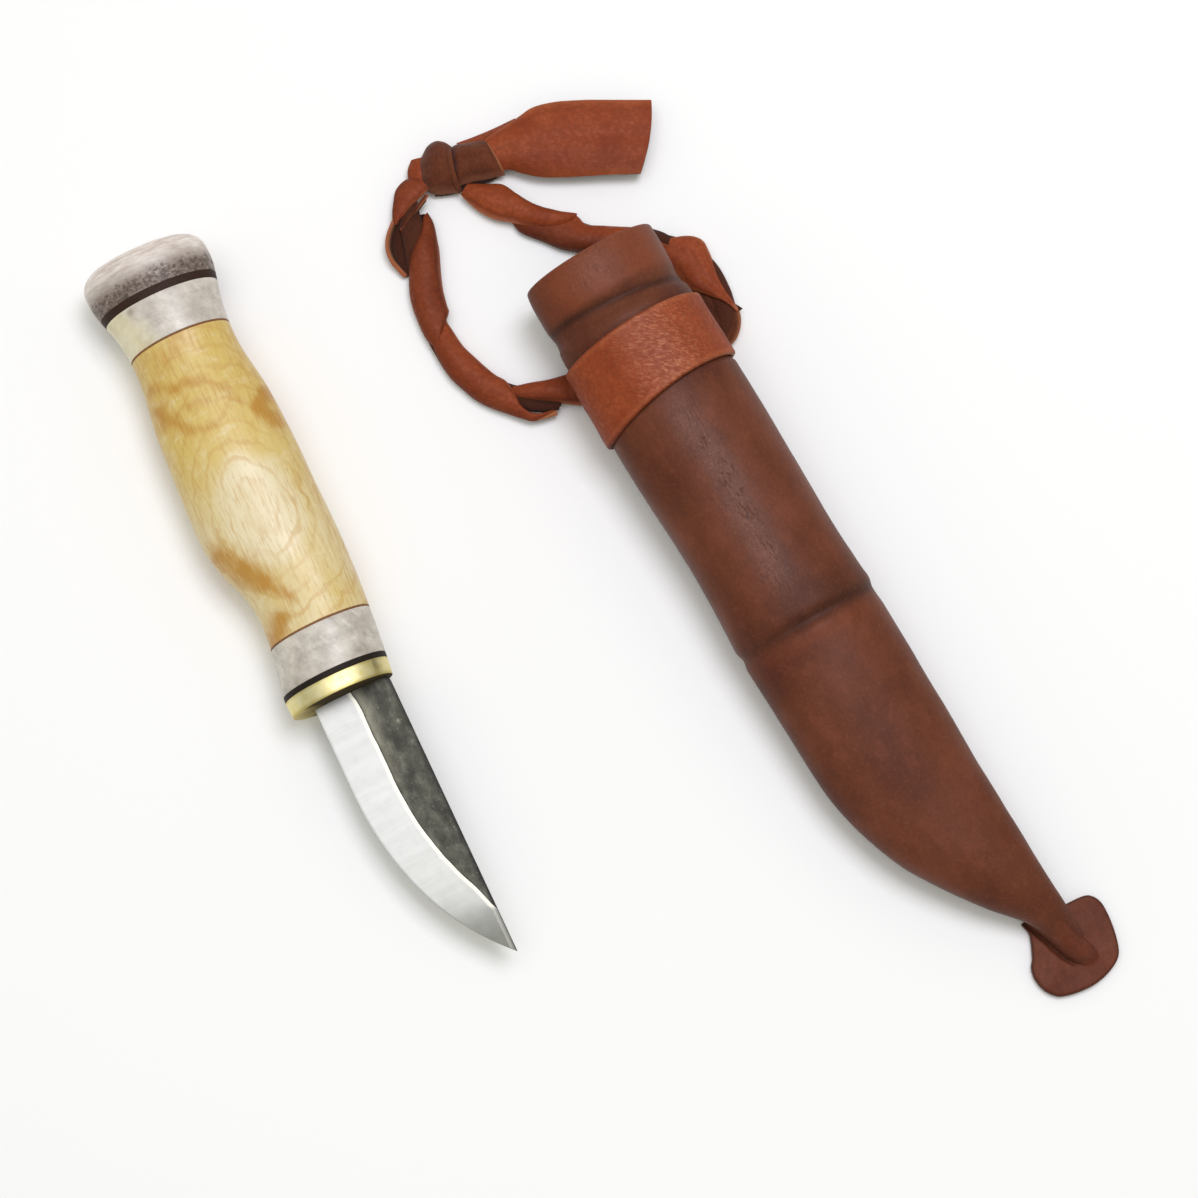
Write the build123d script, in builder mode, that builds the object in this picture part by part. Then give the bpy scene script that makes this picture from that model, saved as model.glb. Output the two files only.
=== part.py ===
"""A whittling knife beside its leather sheath, both lying flat as a set.

Millimetres.  +X runs along the knife from butt to blade, +Y towards the back of
the blade, +Z up.  The origin is the middle of the set's footprint.
"""
import os
from math import cos, radians, sin, tan

from build123d import *

os.makedirs("parts", exist_ok=True)

# ---------------------------------------------------------------- knife sizes
knife_x = -7.08             # bolster's front face, where the blade leaves the handle
knife_y = -54.26            # axis of the handle
handle_thickness = 19.4     # over the belly, the pommel and the bolster, measured upright
waist_thickness = 17.2      # at the two narrow places of the handle
blade_length = 62.0
blade_thickness = 3.0
back_height = 10.1          # from the handle's axis to the back of the blade
edge_drop = 6.5             # from the handle's axis to the straight cutting edge
straight_edge = 19.0        # cutting edge before it sweeps up to the tip
bevel_height = 8.6          # flat grind, from the edge to its shoulder
edge_width = 0.12
shoulder_land = 0.15        # what stays of the flat where the grind reaches the back
tip_height = 0.25           # of the blade's very end
sweep_steps = 20            # rows in which the swept edge is drawn
tang_height = 9.0           # at the blade's heel
tang_end_height = 5.0
tang_thickness = 2.6
tang_rise = 0.8             # tang's middle above the handle's axis
tang_into_pommel = 5.0
bolster_length = 3.6
spacer_length = 1.4
front_antler_length = 9.7
liner_length = 0.4
grip_length = 66.8
rear_antler_length = 9.1
rear_spacer_length = 2.4
pommel_length = 10.4
bolster_fit = 0.05          # clearance of the tang in the brass
bore_clearance = 0.9        # room for glue round the tang
pommel_round = 5.0
bolster_round = 0.5

# --------------------------------------------------------------- sheath sizes
mouth_x = -60.7             # middle of the sheath's mouth, from the bolster's front face
mouth_y = 84.7              # and from the handle's axis
sheath_turn = 4.6           # the sheath lies turned from the knife, degrees
sheath_pitch = 2.5          # and dips from its band to its tip, degrees
leather = 1.5               # wall of the sheath
lining_gap = 0.3            # between leather pieces that lie on each other
girth_height = 23.6         # of the sheath round the handle pocket
pocket_length = 88.4        # from the mouth to the moulded ridge
collar_length = 3.1         # blade liner's collar behind the ridge
liner_end = 154.0           # far end of the blade liner, from the mouth
blade_slot_gap = 0.4        # each side of the blade in its liner
band_thickness = 1.4
band_middle = 27.0          # from the mouth
band_width = 17.6
band_lead_skew = 2.1        # slant of the band's edge next to the mouth, degrees
band_tail_skew = 7.6        # slant of its other edge
leaf_thickness = 2.2        # flat end of the leather, past the tip
leaf_length = 17.9
leaf_width = 20.0
leaf_reach = 171.75         # from the mouth to the leaf's middle
leaf_across = 14.3          # from the sheath's axis to the leaf's middle
thong_diameter = 5.0        # round stand-in with the section of the twisted strip
thong_tail_thickness = 2.2
knot_round = 3.6

# ---------------------------------------------------------------- the handle
# Each row is a place on the handle behind the bolster's face, how far the belly
# side and the back side stand from the axis there, and the upright thickness.
handle_length = (bolster_length + spacer_length + front_antler_length + 2 * liner_length
                 + grip_length + rear_antler_length + rear_spacer_length + pommel_length)
handle_rows = [
    (0.0, 11.2, 11.0, handle_thickness - 0.4),
    (5.0, 11.3, 11.6, handle_thickness),
    (12.0, 9.9, 12.3, (handle_thickness + waist_thickness) / 2),
    (21.0, 9.1, 13.0, waist_thickness),
    (28.0, 10.2, 13.3, handle_thickness - 1.5),
    (32.0, 11.8, 13.4, (handle_thickness + waist_thickness) / 2),
    (37.0, 13.1, 13.4, handle_thickness - 0.5),
    (43.0, 13.6, 13.3, handle_thickness - 0.2),
    (54.0, 13.2, 13.3, handle_thickness - 0.1),
    (66.0, 12.5, 12.7, (handle_thickness + waist_thickness) / 2),
    (77.0, 11.1, 11.2, waist_thickness),
    (86.0, 11.3, 11.6, (handle_thickness + waist_thickness) / 2),
    (95.0, 13.6, 13.4, handle_thickness - 0.4),
    (handle_length - pommel_round, 14.0, 13.5, handle_thickness),
]
knife_z = handle_thickness / 2


def smooth_rows(rows, parts: int):
    """Add rows between the given ones, along a smooth curve through them."""
    padded = [rows[0]] + rows + [rows[-1]]
    dense = []
    for quad in zip(padded, padded[1:], padded[2:], padded[3:]):
        for step in range(parts):
            t = step / parts
            dense.append(tuple(
                b + t * (c - a) / 2 + t * t * (a - 2.5 * b + 2 * c - d / 2) + t ** 3 * (3 * (b - c) + d - a) / 2
                for a, b, c, d in zip(*quad)
            ))
    return dense + [rows[-1]]


def rounded_end(last, radius: float, steps: int):
    """Rows that round the end off, from the last row on."""
    along, belly, back, thickness = last
    rows = []
    for step in range(1, steps + 1):
        angle = radians(90) * step / steps
        inset = radius * (1 - cos(angle))
        rows.append((along + radius * sin(angle), belly - inset, back - inset, thickness - 2 * inset))
    return rows


handle_sections = smooth_rows(handle_rows, 3) + rounded_end(handle_rows[-1], pommel_round, 6)


def across_knife(along: float) -> Plane:
    """Plane square to the knife, x towards the back of the blade and y up."""
    return Plane(origin=(knife_x + along, knife_y, knife_z), x_dir=(0, 1, 0), z_dir=(1, 0, 0))


def handle_form():
    """Add the whole handle's oval form, from the bolster's face to the butt."""
    for behind, belly, back, thickness in handle_sections:
        with BuildSketch(across_knife(-behind)) as section:
            with Locations(((back - belly) / 2, 0)):
                Ellipse((back + belly) / 2, thickness / 2)
        add(section.sketch)
    loft(ruled=True)


def keep_between(front: float, rear: float):
    """Keep the handle's slice between two faces, given behind the bolster's face."""
    split(bisect_by=across_knife(-front), keep=Keep.BOTTOM)
    split(bisect_by=across_knife(-rear), keep=Keep.TOP)


def cut_bore(front: float, rear: float):
    """Cut the slotted bore for the tang and its glue."""
    with BuildSketch(across_knife(-rear)) as bore:
        with Locations((tang_rise, 0)):
            SlotOverall(tang_height + 2 * bore_clearance, tang_thickness + 2 * bore_clearance)
    extrude(bore.sketch, amount=rear - front, mode=Mode.SUBTRACT)


# Faces between the stacked pieces, behind the bolster's face.
bolster_rear = bolster_length
spacer_rear = bolster_rear + spacer_length
front_antler_rear = spacer_rear + front_antler_length
front_liner_rear = front_antler_rear + liner_length
grip_rear = front_liner_rear + grip_length
rear_liner_rear = grip_rear + liner_length
rear_antler_rear = rear_liner_rear + rear_antler_length
rear_spacer_rear = rear_antler_rear + rear_spacer_length
tang_length = rear_spacer_rear + tang_into_pommel
bore_end = tang_length + bore_clearance

# ----------------------------------------------------------------- the blade
bevel_slope = (blade_thickness - edge_width) / 2 / bevel_height


def blade_outline():
    """Places along the blade, with the cutting edge's level there."""
    swept_length = blade_length - straight_edge
    rise = edge_drop + back_height - tip_height
    rows = [(0.0, -edge_drop)]
    for step in range(sweep_steps + 1):
        share = step / sweep_steps
        lift = 0.72 * share ** 2 + 0.28 * share ** 4
        rows.append((straight_edge + share * swept_length, lift * rise - edge_drop))
    return rows


with BuildPart() as blade:
    for along, edge in blade_outline():
        grind = min(bevel_height, back_height - shoulder_land - edge)
        half = edge_width / 2 + grind * bevel_slope
        with BuildSketch(across_knife(along)):
            with BuildLine():
                Polyline(
                    (edge, -edge_width / 2),
                    (edge + grind, -half),
                    (back_height, -half),
                    (back_height, half),
                    (edge + grind, half),
                    (edge, edge_width / 2),
                    close=True,
                )
            make_face()
    loft(ruled=True)
    # The stick tang tapers through the whole stack into the pommel.
    with BuildSketch(Plane((knife_x, knife_y + tang_rise, knife_z - tang_thickness / 2))):
        with BuildLine():
            Polyline(
                (0, -tang_height / 2),
                (0, tang_height / 2),
                (-tang_length, tang_end_height / 2),
                (-tang_length, -tang_end_height / 2),
                close=True,
            )
        make_face()
    extrude(amount=tang_thickness)
blade.part.label = "blade"
export_step(blade.part, "parts/blade.step")

# ------------------------------------------------------ the stack on the tang
with BuildPart() as brass_bolster:
    handle_form()
    keep_between(0, bolster_rear)
    fillet(brass_bolster.faces().sort_by(Axis.X)[-1].edges(), bolster_round)
    with BuildSketch(Plane.XY.offset(knife_z - tang_thickness / 2 - bolster_fit)):
        with Locations((knife_x, knife_y + tang_rise)):
            Rectangle(2 * bolster_length, tang_height + 2 * bolster_fit)
    extrude(amount=tang_thickness + 2 * bolster_fit, mode=Mode.SUBTRACT)
brass_bolster.part.label = "brass_bolster"
export_step(brass_bolster.part, "parts/brass_bolster.step")

stack = [
    ("front_black_spacer", bolster_rear, spacer_rear),
    ("front_antler_ring", spacer_rear, front_antler_rear),
    ("front_liner", front_antler_rear, front_liner_rear),
    ("birch_grip", front_liner_rear, grip_rear),
    ("rear_liner", grip_rear, rear_liner_rear),
    ("rear_antler_ring", rear_liner_rear, rear_antler_rear),
    ("rear_dark_spacer", rear_antler_rear, rear_spacer_rear),
]
for name, front, rear in stack:
    with BuildPart() as ring:
        handle_form()
        keep_between(front, rear)
        cut_bore(front, rear)
    ring.part.label = name
    export_step(ring.part, f"parts/{name}.step")

with BuildPart() as antler_pommel:
    handle_form()
    keep_between(rear_spacer_rear, handle_length)
    cut_bore(rear_spacer_rear, bore_end)
antler_pommel.part.label = "antler_pommel"
export_step(antler_pommel.part, "parts/antler_pommel.step")

with BuildPart() as tang_glue:
    with BuildSketch(across_knife(-bore_end)):
        with Locations((tang_rise, 0)):
            SlotOverall(tang_height + 2 * bore_clearance, tang_thickness + 2 * bore_clearance)
    extrude(amount=bore_end - bolster_rear)
    add(blade.part, mode=Mode.SUBTRACT)
tang_glue.part.label = "tang_glue"
export_step(tang_glue.part, "parts/tang_glue.step")

# ----------------------------------------------------------------- the sheath
# Each row is a place along the sheath from its mouth, how far the edge side and
# the back side stand from its axis, its height, and how far its middle drops.
ridge = pocket_length
sheath_rows = [
    (0.0, 15.4, 14.0, girth_height - 1.2, 0.0),
    (3.0, 15.8, 14.2, girth_height - 0.2, 0.0),
    (8.8, 15.8, 14.1, girth_height, 0.0),
    (11.0, 15.5, 13.8, girth_height - 1.0, 0.0),
    (12.4, 15.3, 13.7, girth_height - 1.5, 0.0),
    (14.0, 15.5, 14.0, girth_height - 1.0, 0.0),
    (16.4, 15.9, 14.6, girth_height, 0.0),
    (42.0, 15.9, 15.3, girth_height, 0.0),
    (56.0, 15.3, 15.4, girth_height - 0.4, 0.0),
    (70.0, 14.9, 15.3, girth_height - 0.8, 0.0),
    (ridge - 6.0, 15.3, 15.7, girth_height - 1.0, 0.0),
    (ridge - 2.2, 15.5, 16.0, girth_height - 1.2, 0.0),
    (ridge, 15.0, 15.6, girth_height - 2.8, 0.0),
    (ridge + 2.2, 15.3, 15.7, girth_height - 1.6, 0.0),
    (ridge + 5.0, 15.2, 15.9, girth_height - 2.0, 0.0),
    (ridge + 16.0, 14.8, 16.0, girth_height - 3.4, 0.0),
    (118.0, 14.4, 16.0, girth_height - 5.2, 0.0),
    (126.0, 13.3, 16.0, girth_height - 6.4, 0.0),
    (133.0, 11.4, 16.05, girth_height - 7.8, 0.0),
    (140.0, 8.7, 16.1, girth_height - 9.6, 0.0),
    (146.0, 5.2, 16.3, girth_height - 11.2, 0.0),
    (151.5, 1.5, 16.4, girth_height - 12.8, -0.2),
    (157.0, -2.7, 16.6, girth_height - 14.6, -0.8),
    (163.5, -8.4, 17.1, girth_height - 17.0, -2.3),
    (168.0, -10.5, 17.3, girth_height - 18.4, -3.8),
    (172.5, -12.1, 17.8, girth_height - 19.6, -4.8),
    (177.0, -14.4, 18.8, girth_height - 20.6, -5.3),
]
band_standing = girth_height / 2 + lining_gap + band_thickness
band_foot = band_middle + band_width / 2
mouth_height = band_standing * cos(radians(sheath_pitch)) + band_foot * sin(radians(sheath_pitch))
sheath_floor = Plane(
    origin=(knife_x + mouth_x, knife_y + mouth_y, 0),
    x_dir=(cos(radians(sheath_turn)), sin(radians(sheath_turn)), 0),
    z_dir=(0, 0, 1),
)
sheath_axis = Plane(
    origin=sheath_floor.origin + Vector(0, 0, mouth_height),
    x_dir=sheath_floor.x_dir * cos(radians(sheath_pitch)) - Vector(0, 0, sin(radians(sheath_pitch))),
    z_dir=sheath_floor.x_dir * sin(radians(sheath_pitch)) + Vector(0, 0, cos(radians(sheath_pitch))),
)


def across_sheath(along: float, drop: float = 0.0) -> Plane:
    """Plane square to the sheath's axis, x towards its back side and y up."""
    middle = sheath_axis.from_local_coords(Vector(along, 0, drop))
    return Plane(origin=middle, x_dir=sheath_axis.y_dir, z_dir=sheath_axis.x_dir)


def girth(along: float):
    """Edge side, back side, height and drop of the sheath at one place."""
    for low, high in zip(sheath_rows, sheath_rows[1:]):
        if along <= high[0]:
            share = (along - low[0]) / (high[0] - low[0])
            return [a + (b - a) * share for a, b in zip(low[1:], high[1:])]
    return list(sheath_rows[-1][1:])


def oval(along: float, grow: float):
    """Sketch the sheath's oval at one place, grown or shrunk all round."""
    edge_side, back_side, height, drop = girth(along)
    with BuildSketch(across_sheath(along, drop)) as section:
        with Locations(((back_side - edge_side) / 2, 0)):
            Ellipse((back_side + edge_side) / 2 + grow, height / 2 + grow)
    add(section.sketch)


def oval_form(places, grow: float, mode: Mode = Mode.ADD):
    """Loft ovals at the given places, grown or shrunk all round."""
    for along in places:
        oval(along, grow)
    loft(ruled=True, mode=mode)


# The leaf's outline, in shares of its length and width from its middle.
leaf_outline = [
    (-0.478, -0.115), (-0.425, 0.375), (-0.363, 0.46), (-0.26, 0.5), (-0.126, 0.5), (0.042, 0.478),
    (0.198, 0.44), (0.327, 0.39), (0.405, 0.315), (0.472, 0.17), (0.5, 0.01), (0.489, -0.15), (0.45, -0.3),
    (0.402, -0.39), (0.282, -0.47), (0.12, -0.5), (-0.02, -0.47), (-0.109, -0.41), (-0.254, -0.345),
    (-0.36, -0.31), (-0.447, -0.32), (-0.5, -0.323),
]
body_places = [row[0] for row in sheath_rows]
lining_places = [along for along in body_places if along < liner_end] + [liner_end]
pocket_end = liner_end + lining_gap

with BuildPart() as sheath_leather:
    oval_form(body_places, 0)
    # The leather runs on past the tip as a flat, rounded leaf on the table.
    with BuildSketch(sheath_floor):
        with BuildLine():
            Spline(
                *((leaf_reach + a * leaf_length, leaf_across + b * leaf_width)
                  for a, b in leaf_outline),
                periodic=True,
            )
        make_face()
    extrude(amount=leaf_thickness)
    oval_form([-1.0] + [along for along in body_places if 0 < along < pocket_end] + [pocket_end],
              -leather, mode=Mode.SUBTRACT)
sheath_leather.part.label = "sheath_leather"
export_step(sheath_leather.part, "parts/sheath_leather.step")

with BuildPart() as blade_liner:
    oval_form([ridge + 0.5] + [along for along in lining_places if along > ridge], -leather - lining_gap)
    # A slot for the blade, following its outline from the collar to past its tip.
    with BuildSketch(sheath_axis.offset(-blade_thickness / 2 - blade_slot_gap)):
        with BuildLine():
            Polyline(
                (ridge, -edge_drop - blade_slot_gap),
                *((ridge + collar_length + along, edge - blade_slot_gap)
                  for along, edge in blade_outline()[1:]),
                (ridge + collar_length + blade_length, back_height + blade_slot_gap),
                (ridge, back_height + blade_slot_gap),
                close=True,
            )
        make_face()
    extrude(amount=blade_thickness + 2 * blade_slot_gap, mode=Mode.SUBTRACT)
blade_liner.part.label = "blade_liner"
export_step(blade_liner.part, "parts/blade_liner.step")

with BuildPart() as carry_band:
    band_span = [band_middle - band_width * 0.54, band_middle, band_middle + band_width * 0.8]
    oval_form(band_span, lining_gap + band_thickness)
    oval_form(band_span, lining_gap, mode=Mode.SUBTRACT)
    lead = across_sheath(band_middle - band_width / 2)
    tail = across_sheath(band_middle + band_width / 2)
    split(bisect_by=lead.rotated((0, band_lead_skew, 0)), keep=Keep.TOP)
    split(bisect_by=tail.rotated((0, band_tail_skew, 0)), keep=Keep.BOTTOM)
carry_band.part.label = "carry_band"
export_step(carry_band.part, "parts/carry_band.step")

# ------------------------------------------------------------------ the thong
# Routes of the two legs in the sheath's floor frame: along, across, height.
left_leg = [
    (20.7, -14.5, 2.9),
    (19.0, -20.5, 2.8),
    (15.6, -27.0, 2.8),
    (9.0, -32.5, 3.0),
    (0.5, -34.8, 3.2),
    (-9.0, -34.0, 3.2),
    (-17.5, -31.2, 3.2),
    (-24.5, -28.6, 3.4),
    (-30.6, -27.2, 3.8),
    (-35.7, -23.7, 4.2),
]
right_leg = [
    (-25.2, -11.4, 4.0),
    (-21.0, -7.6, 3.6),
    (-14.0, -1.9, 3.2),
    (-7.4, 3.6, 3.0),
    (-1.3, 11.0, 3.0),
    (4.0, 19.3, 3.0),
    (12.0, 22.2, 3.2),
    (19.8, 21.0, 3.2),
    (25.0, 18.8, 3.0),
    (26.9, 13.9, 2.9),
]
knot_middle = (-34.4, -13.0)
knot_size = (13.4, 16.0, 9.0)
tail_outline = [
    (-36.6, -4.7), (-36.7, 1.7), (-37.3, 6.4), (-36.3, 10.8), (-33.7, 16.7), (-26.4, 30.4), (-22.4, 27.8),
    (-17.2, 23.4), (-13.5, 19.7), (-17.5, 12.2), (-22.4, 2.8), (-26.6, -2.1), (-29.4, -4.7),
]


def leg_radii(points):
    """Largest fillet at each corner of a route that its two runs allow."""
    radii = []
    for a, b, c in zip(points, points[1:], points[2:]):
        before, after = Vector(b) - Vector(a), Vector(c) - Vector(b)
        turn = radians(before.get_angle(after))
        radii.append(0.45 * min(before.length, after.length) / tan(turn / 2))
    return radii


def thong_tube(points):
    """Add a round tube along one leg of the thong."""
    placed = [sheath_floor.from_local_coords(Vector(p)) for p in points]
    with BuildLine() as route:
        FilletPolyline(*placed, radius=leg_radii(placed))
    with BuildSketch(Plane(origin=route.line @ 0, z_dir=route.line % 0)) as section:
        Circle(thong_diameter / 2)
    sweep(section.sketch, path=route.line)


with BuildPart() as thong_left:
    thong_tube(left_leg)
thong_left.part.label = "thong_left"
export_step(thong_left.part, "parts/thong_left.step")

with BuildPart() as thong_right:
    thong_tube(right_leg)
thong_right.part.label = "thong_right"
export_step(thong_right.part, "parts/thong_right.step")

with BuildPart() as thong_knot:
    with BuildSketch(sheath_floor.offset(lining_gap)):
        with Locations(knot_middle):
            RectangleRounded(knot_size[0], knot_size[1], knot_round)
    extrude(amount=knot_size[2])
    fillet(thong_knot.edges().group_by(Axis.Z)[-1] + thong_knot.edges().group_by(Axis.Z)[0], knot_round * 0.8)
thong_knot.part.label = "thong_knot"
export_step(thong_knot.part, "parts/thong_knot.step")

with BuildPart() as thong_tail:
    with BuildSketch(sheath_floor.offset(lining_gap + knot_size[2] / 2 - thong_tail_thickness / 2)):
        with BuildLine():
            Polyline(*tail_outline, close=True)
        make_face()
    extrude(amount=thong_tail_thickness)
thong_tail.part.label = "thong_tail"
export_step(thong_tail.part, "parts/thong_tail.step")
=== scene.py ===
"""Looks of a short whittling knife and its moulded leather sheath.

The knife lies beside its sheath on a pale table.  Sizes are in millimetres in the
classes below and become metres where a mesh is made.  Places come from the frame.
"""
import logging
import math
from dataclasses import dataclass
from enum import Enum
from typing import Callable, Sequence

import bpy
from mathutils import Matrix, Vector, noise


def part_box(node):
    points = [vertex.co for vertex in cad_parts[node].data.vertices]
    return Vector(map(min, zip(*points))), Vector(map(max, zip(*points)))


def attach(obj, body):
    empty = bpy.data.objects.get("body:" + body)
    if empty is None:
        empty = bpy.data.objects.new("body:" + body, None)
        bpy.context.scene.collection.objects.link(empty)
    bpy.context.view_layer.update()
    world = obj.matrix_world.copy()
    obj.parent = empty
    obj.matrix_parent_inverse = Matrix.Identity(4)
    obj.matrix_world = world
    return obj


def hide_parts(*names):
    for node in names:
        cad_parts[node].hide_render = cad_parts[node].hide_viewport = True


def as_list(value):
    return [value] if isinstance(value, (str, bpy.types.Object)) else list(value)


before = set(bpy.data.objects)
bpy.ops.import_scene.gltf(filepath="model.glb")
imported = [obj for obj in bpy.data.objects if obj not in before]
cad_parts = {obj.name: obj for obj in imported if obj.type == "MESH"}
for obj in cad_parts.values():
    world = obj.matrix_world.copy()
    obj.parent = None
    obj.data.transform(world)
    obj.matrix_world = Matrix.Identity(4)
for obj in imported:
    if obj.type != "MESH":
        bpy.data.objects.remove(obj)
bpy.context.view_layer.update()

MM = 0.001
Row = tuple[float, ...]
Point = tuple[float, float, float]
Rules = dict[str, Callable[[Vector], float]]


# ------------------------------------------------------------------ small maths
def smoothstep(low: float, high: float, value: float) -> float:
    """Ease from 0 at low to 1 at high."""
    share = min(max((value - low) / (high - low), 0.0), 1.0)
    return share * share * (3 - 2 * share)


def bump(value: float, centre: float, width: float) -> float:
    """Soft bell of height 1 round a centre."""
    return math.exp(-(((value - centre) / width) ** 2))


def wobble(point: Vector, scale: float, seed: float = 0.0) -> float:
    """Smooth noise from about -1 to 1 that repeats for the same point.

    Args:
        point: place in millimetres.
        scale: size of one swell in millimetres.
        seed: shifts the pattern.

    Returns:
        The noise value there.
    """
    return noise.noise(point / scale + Vector((seed, seed * 1.7, -seed)))


def smooth_rows(rows: Sequence[Row], parts: int) -> list[Row]:
    """Add rows between the given ones along a smooth curve through them.

    Args:
        rows: places along a piece with the measures there.
        parts: how many steps each stretch is cut into.

    Returns:
        The denser rows.
    """
    padded = [rows[0], *rows, rows[-1]]
    dense: list[Row] = []
    for quad in zip(padded, padded[1:], padded[2:], padded[3:]):
        for step in range(parts):
            t = step / parts
            dense.append(tuple(
                b + t * (c - a) / 2 + t * t * (a - 2.5 * b + 2 * c - d / 2) + t**3 * (3 * (b - c) + d - a) / 2
                for a, b, c, d in zip(*quad)
            ))
    return [*dense, tuple(rows[-1])]


def at_row(rows: Sequence[Row], along: float) -> list[float]:
    """Measures at one place, straight between the two nearest rows.

    Args:
        rows: places along a piece, in rising order, with the measures there.
        along: the place.

    Returns:
        The measures there, without the place itself.
    """
    low, high = rows[0], rows[-1]
    for before, after in zip(rows, rows[1:]):
        if along <= after[0]:
            low, high = before, after
            break
    share = min(max((along - low[0]) / max(high[0] - low[0], 1e-9), 0.0), 1.0)
    return [a + (b - a) * share for a, b in zip(low[1:], high[1:])]


# ------------------------------------------------------------------ mesh making
@dataclass
class Skin:
    """A mesh under construction from rings of points, with values painted on its points."""

    name: str
    points: list[Vector]
    faces: list[tuple[int, ...]]
    finish: list[int]
    paint: dict[str, list[float]]

    @classmethod
    def empty(cls, name: str) -> "Skin":
        """Start a mesh with nothing in it."""
        return cls(name, [], [], [], {})

    def ring(self, points: Sequence[Vector], **values: Sequence[float]) -> list[int]:
        """Add one ring of points in millimetres.

        Args:
            points: the ring's points, in order.
            **values: painted values, one for each point.

        Returns:
            The points' numbers.
        """
        start = len(self.points)
        self.points.extend(points)
        for key, given in values.items():
            self.paint.setdefault(key, [0.0] * start).extend(given)
        for key, kept in self.paint.items():
            kept.extend([0.0] * (len(self.points) - len(kept)))
        return list(range(start, len(self.points)))

    def join(self, a: Sequence[int], b: Sequence[int], finish: int | Sequence[int] = 0) -> None:
        """Fill between two rings with four-sided faces.

        Args:
            a: one ring's points.
            b: the other ring's points.
            finish: the faces' finish number, or one number for each face round the ring.
        """
        count = len(a)
        for i in range(count):
            j = (i + 1) % count
            self.faces.append((a[i], a[j], b[j], b[i]))
            self.finish.append(finish if isinstance(finish, int) else finish[i])

    def cap(self, ring: Sequence[int], flip: bool = False) -> None:
        """Close a ring with a fan round its middle.

        Args:
            ring: the ring's points.
            flip: the fan faces the other way.
        """
        middle = sum((self.points[i] for i in ring), Vector()) / len(ring)
        values = {key: [sum(kept[i] for i in ring) / len(ring)] for key, kept in self.paint.items()}
        centre = self.ring([middle], **values)[0]
        for i, a in enumerate(ring):
            b = ring[(i + 1) % len(ring)]
            self.faces.append((b, a, centre) if flip else (a, b, centre))
            self.finish.append(0)

    def build(self, materials: Sequence[bpy.types.Material], sharp: float = 35.0) -> bpy.types.Object:
        """Make the Blender object.

        Args:
            materials: what the faces' finish numbers stand for.
            sharp: edges that turn by more than this many degrees stay crisp.

        Returns:
            The new object, in the scene.
        """
        mesh = bpy.data.meshes.new(self.name)
        mesh.from_pydata([p * MM for p in self.points], [], self.faces)
        for key, kept in self.paint.items():
            mesh.attributes.new(key, "FLOAT", "POINT").data.foreach_set("value", kept)
        for material in materials:
            mesh.materials.append(material)
        mesh.polygons.foreach_set("material_index", self.finish)
        mesh.validate()
        mesh.shade_smooth()
        mesh.set_sharp_from_angle(angle=math.radians(sharp))
        piece = bpy.data.objects.new(self.name, mesh)
        bpy.context.scene.collection.objects.link(piece)
        return piece


# -------------------------------------------------------------------- materials
def linear(code: str) -> tuple[float, float, float, float]:
    """Turn an sRGB hex colour into linear light.

    Args:
        code: the colour, such as "#E7C98F".

    Returns:
        Red, green, blue and alpha.
    """
    parts = [int(code[i:i + 2], 16) / 255 for i in (1, 3, 5)]
    light = [c / 12.92 if c <= 0.04045 else ((c + 0.055) / 1.055) ** 2.4 for c in parts]
    return (*light, 1.0)


def add_node(tree: bpy.types.NodeTree, kind: str, inputs: dict[str | int, object] | None = None,
             **settings: object) -> bpy.types.Node:
    """Add one shader node.

    Args:
        tree: the material's node tree.
        kind: the node's type.
        inputs: socket names or numbers, each with a value or with a socket to link from.
        **settings: the node's own properties.

    Returns:
        The node.
    """
    node = tree.nodes.new(kind)
    for key, value in settings.items():
        setattr(node, key, value)
    for key, value in (inputs or {}).items():
        if isinstance(value, bpy.types.NodeSocket):
            tree.links.new(value, node.inputs[key])
        else:
            node.inputs[key].default_value = value
    return node


def dress(node: str, material: bpy.types.Material) -> None:
    """Give a solid that stays as it is its finish."""
    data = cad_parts[node].data
    data.materials.clear()
    data.materials.append(material)


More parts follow.
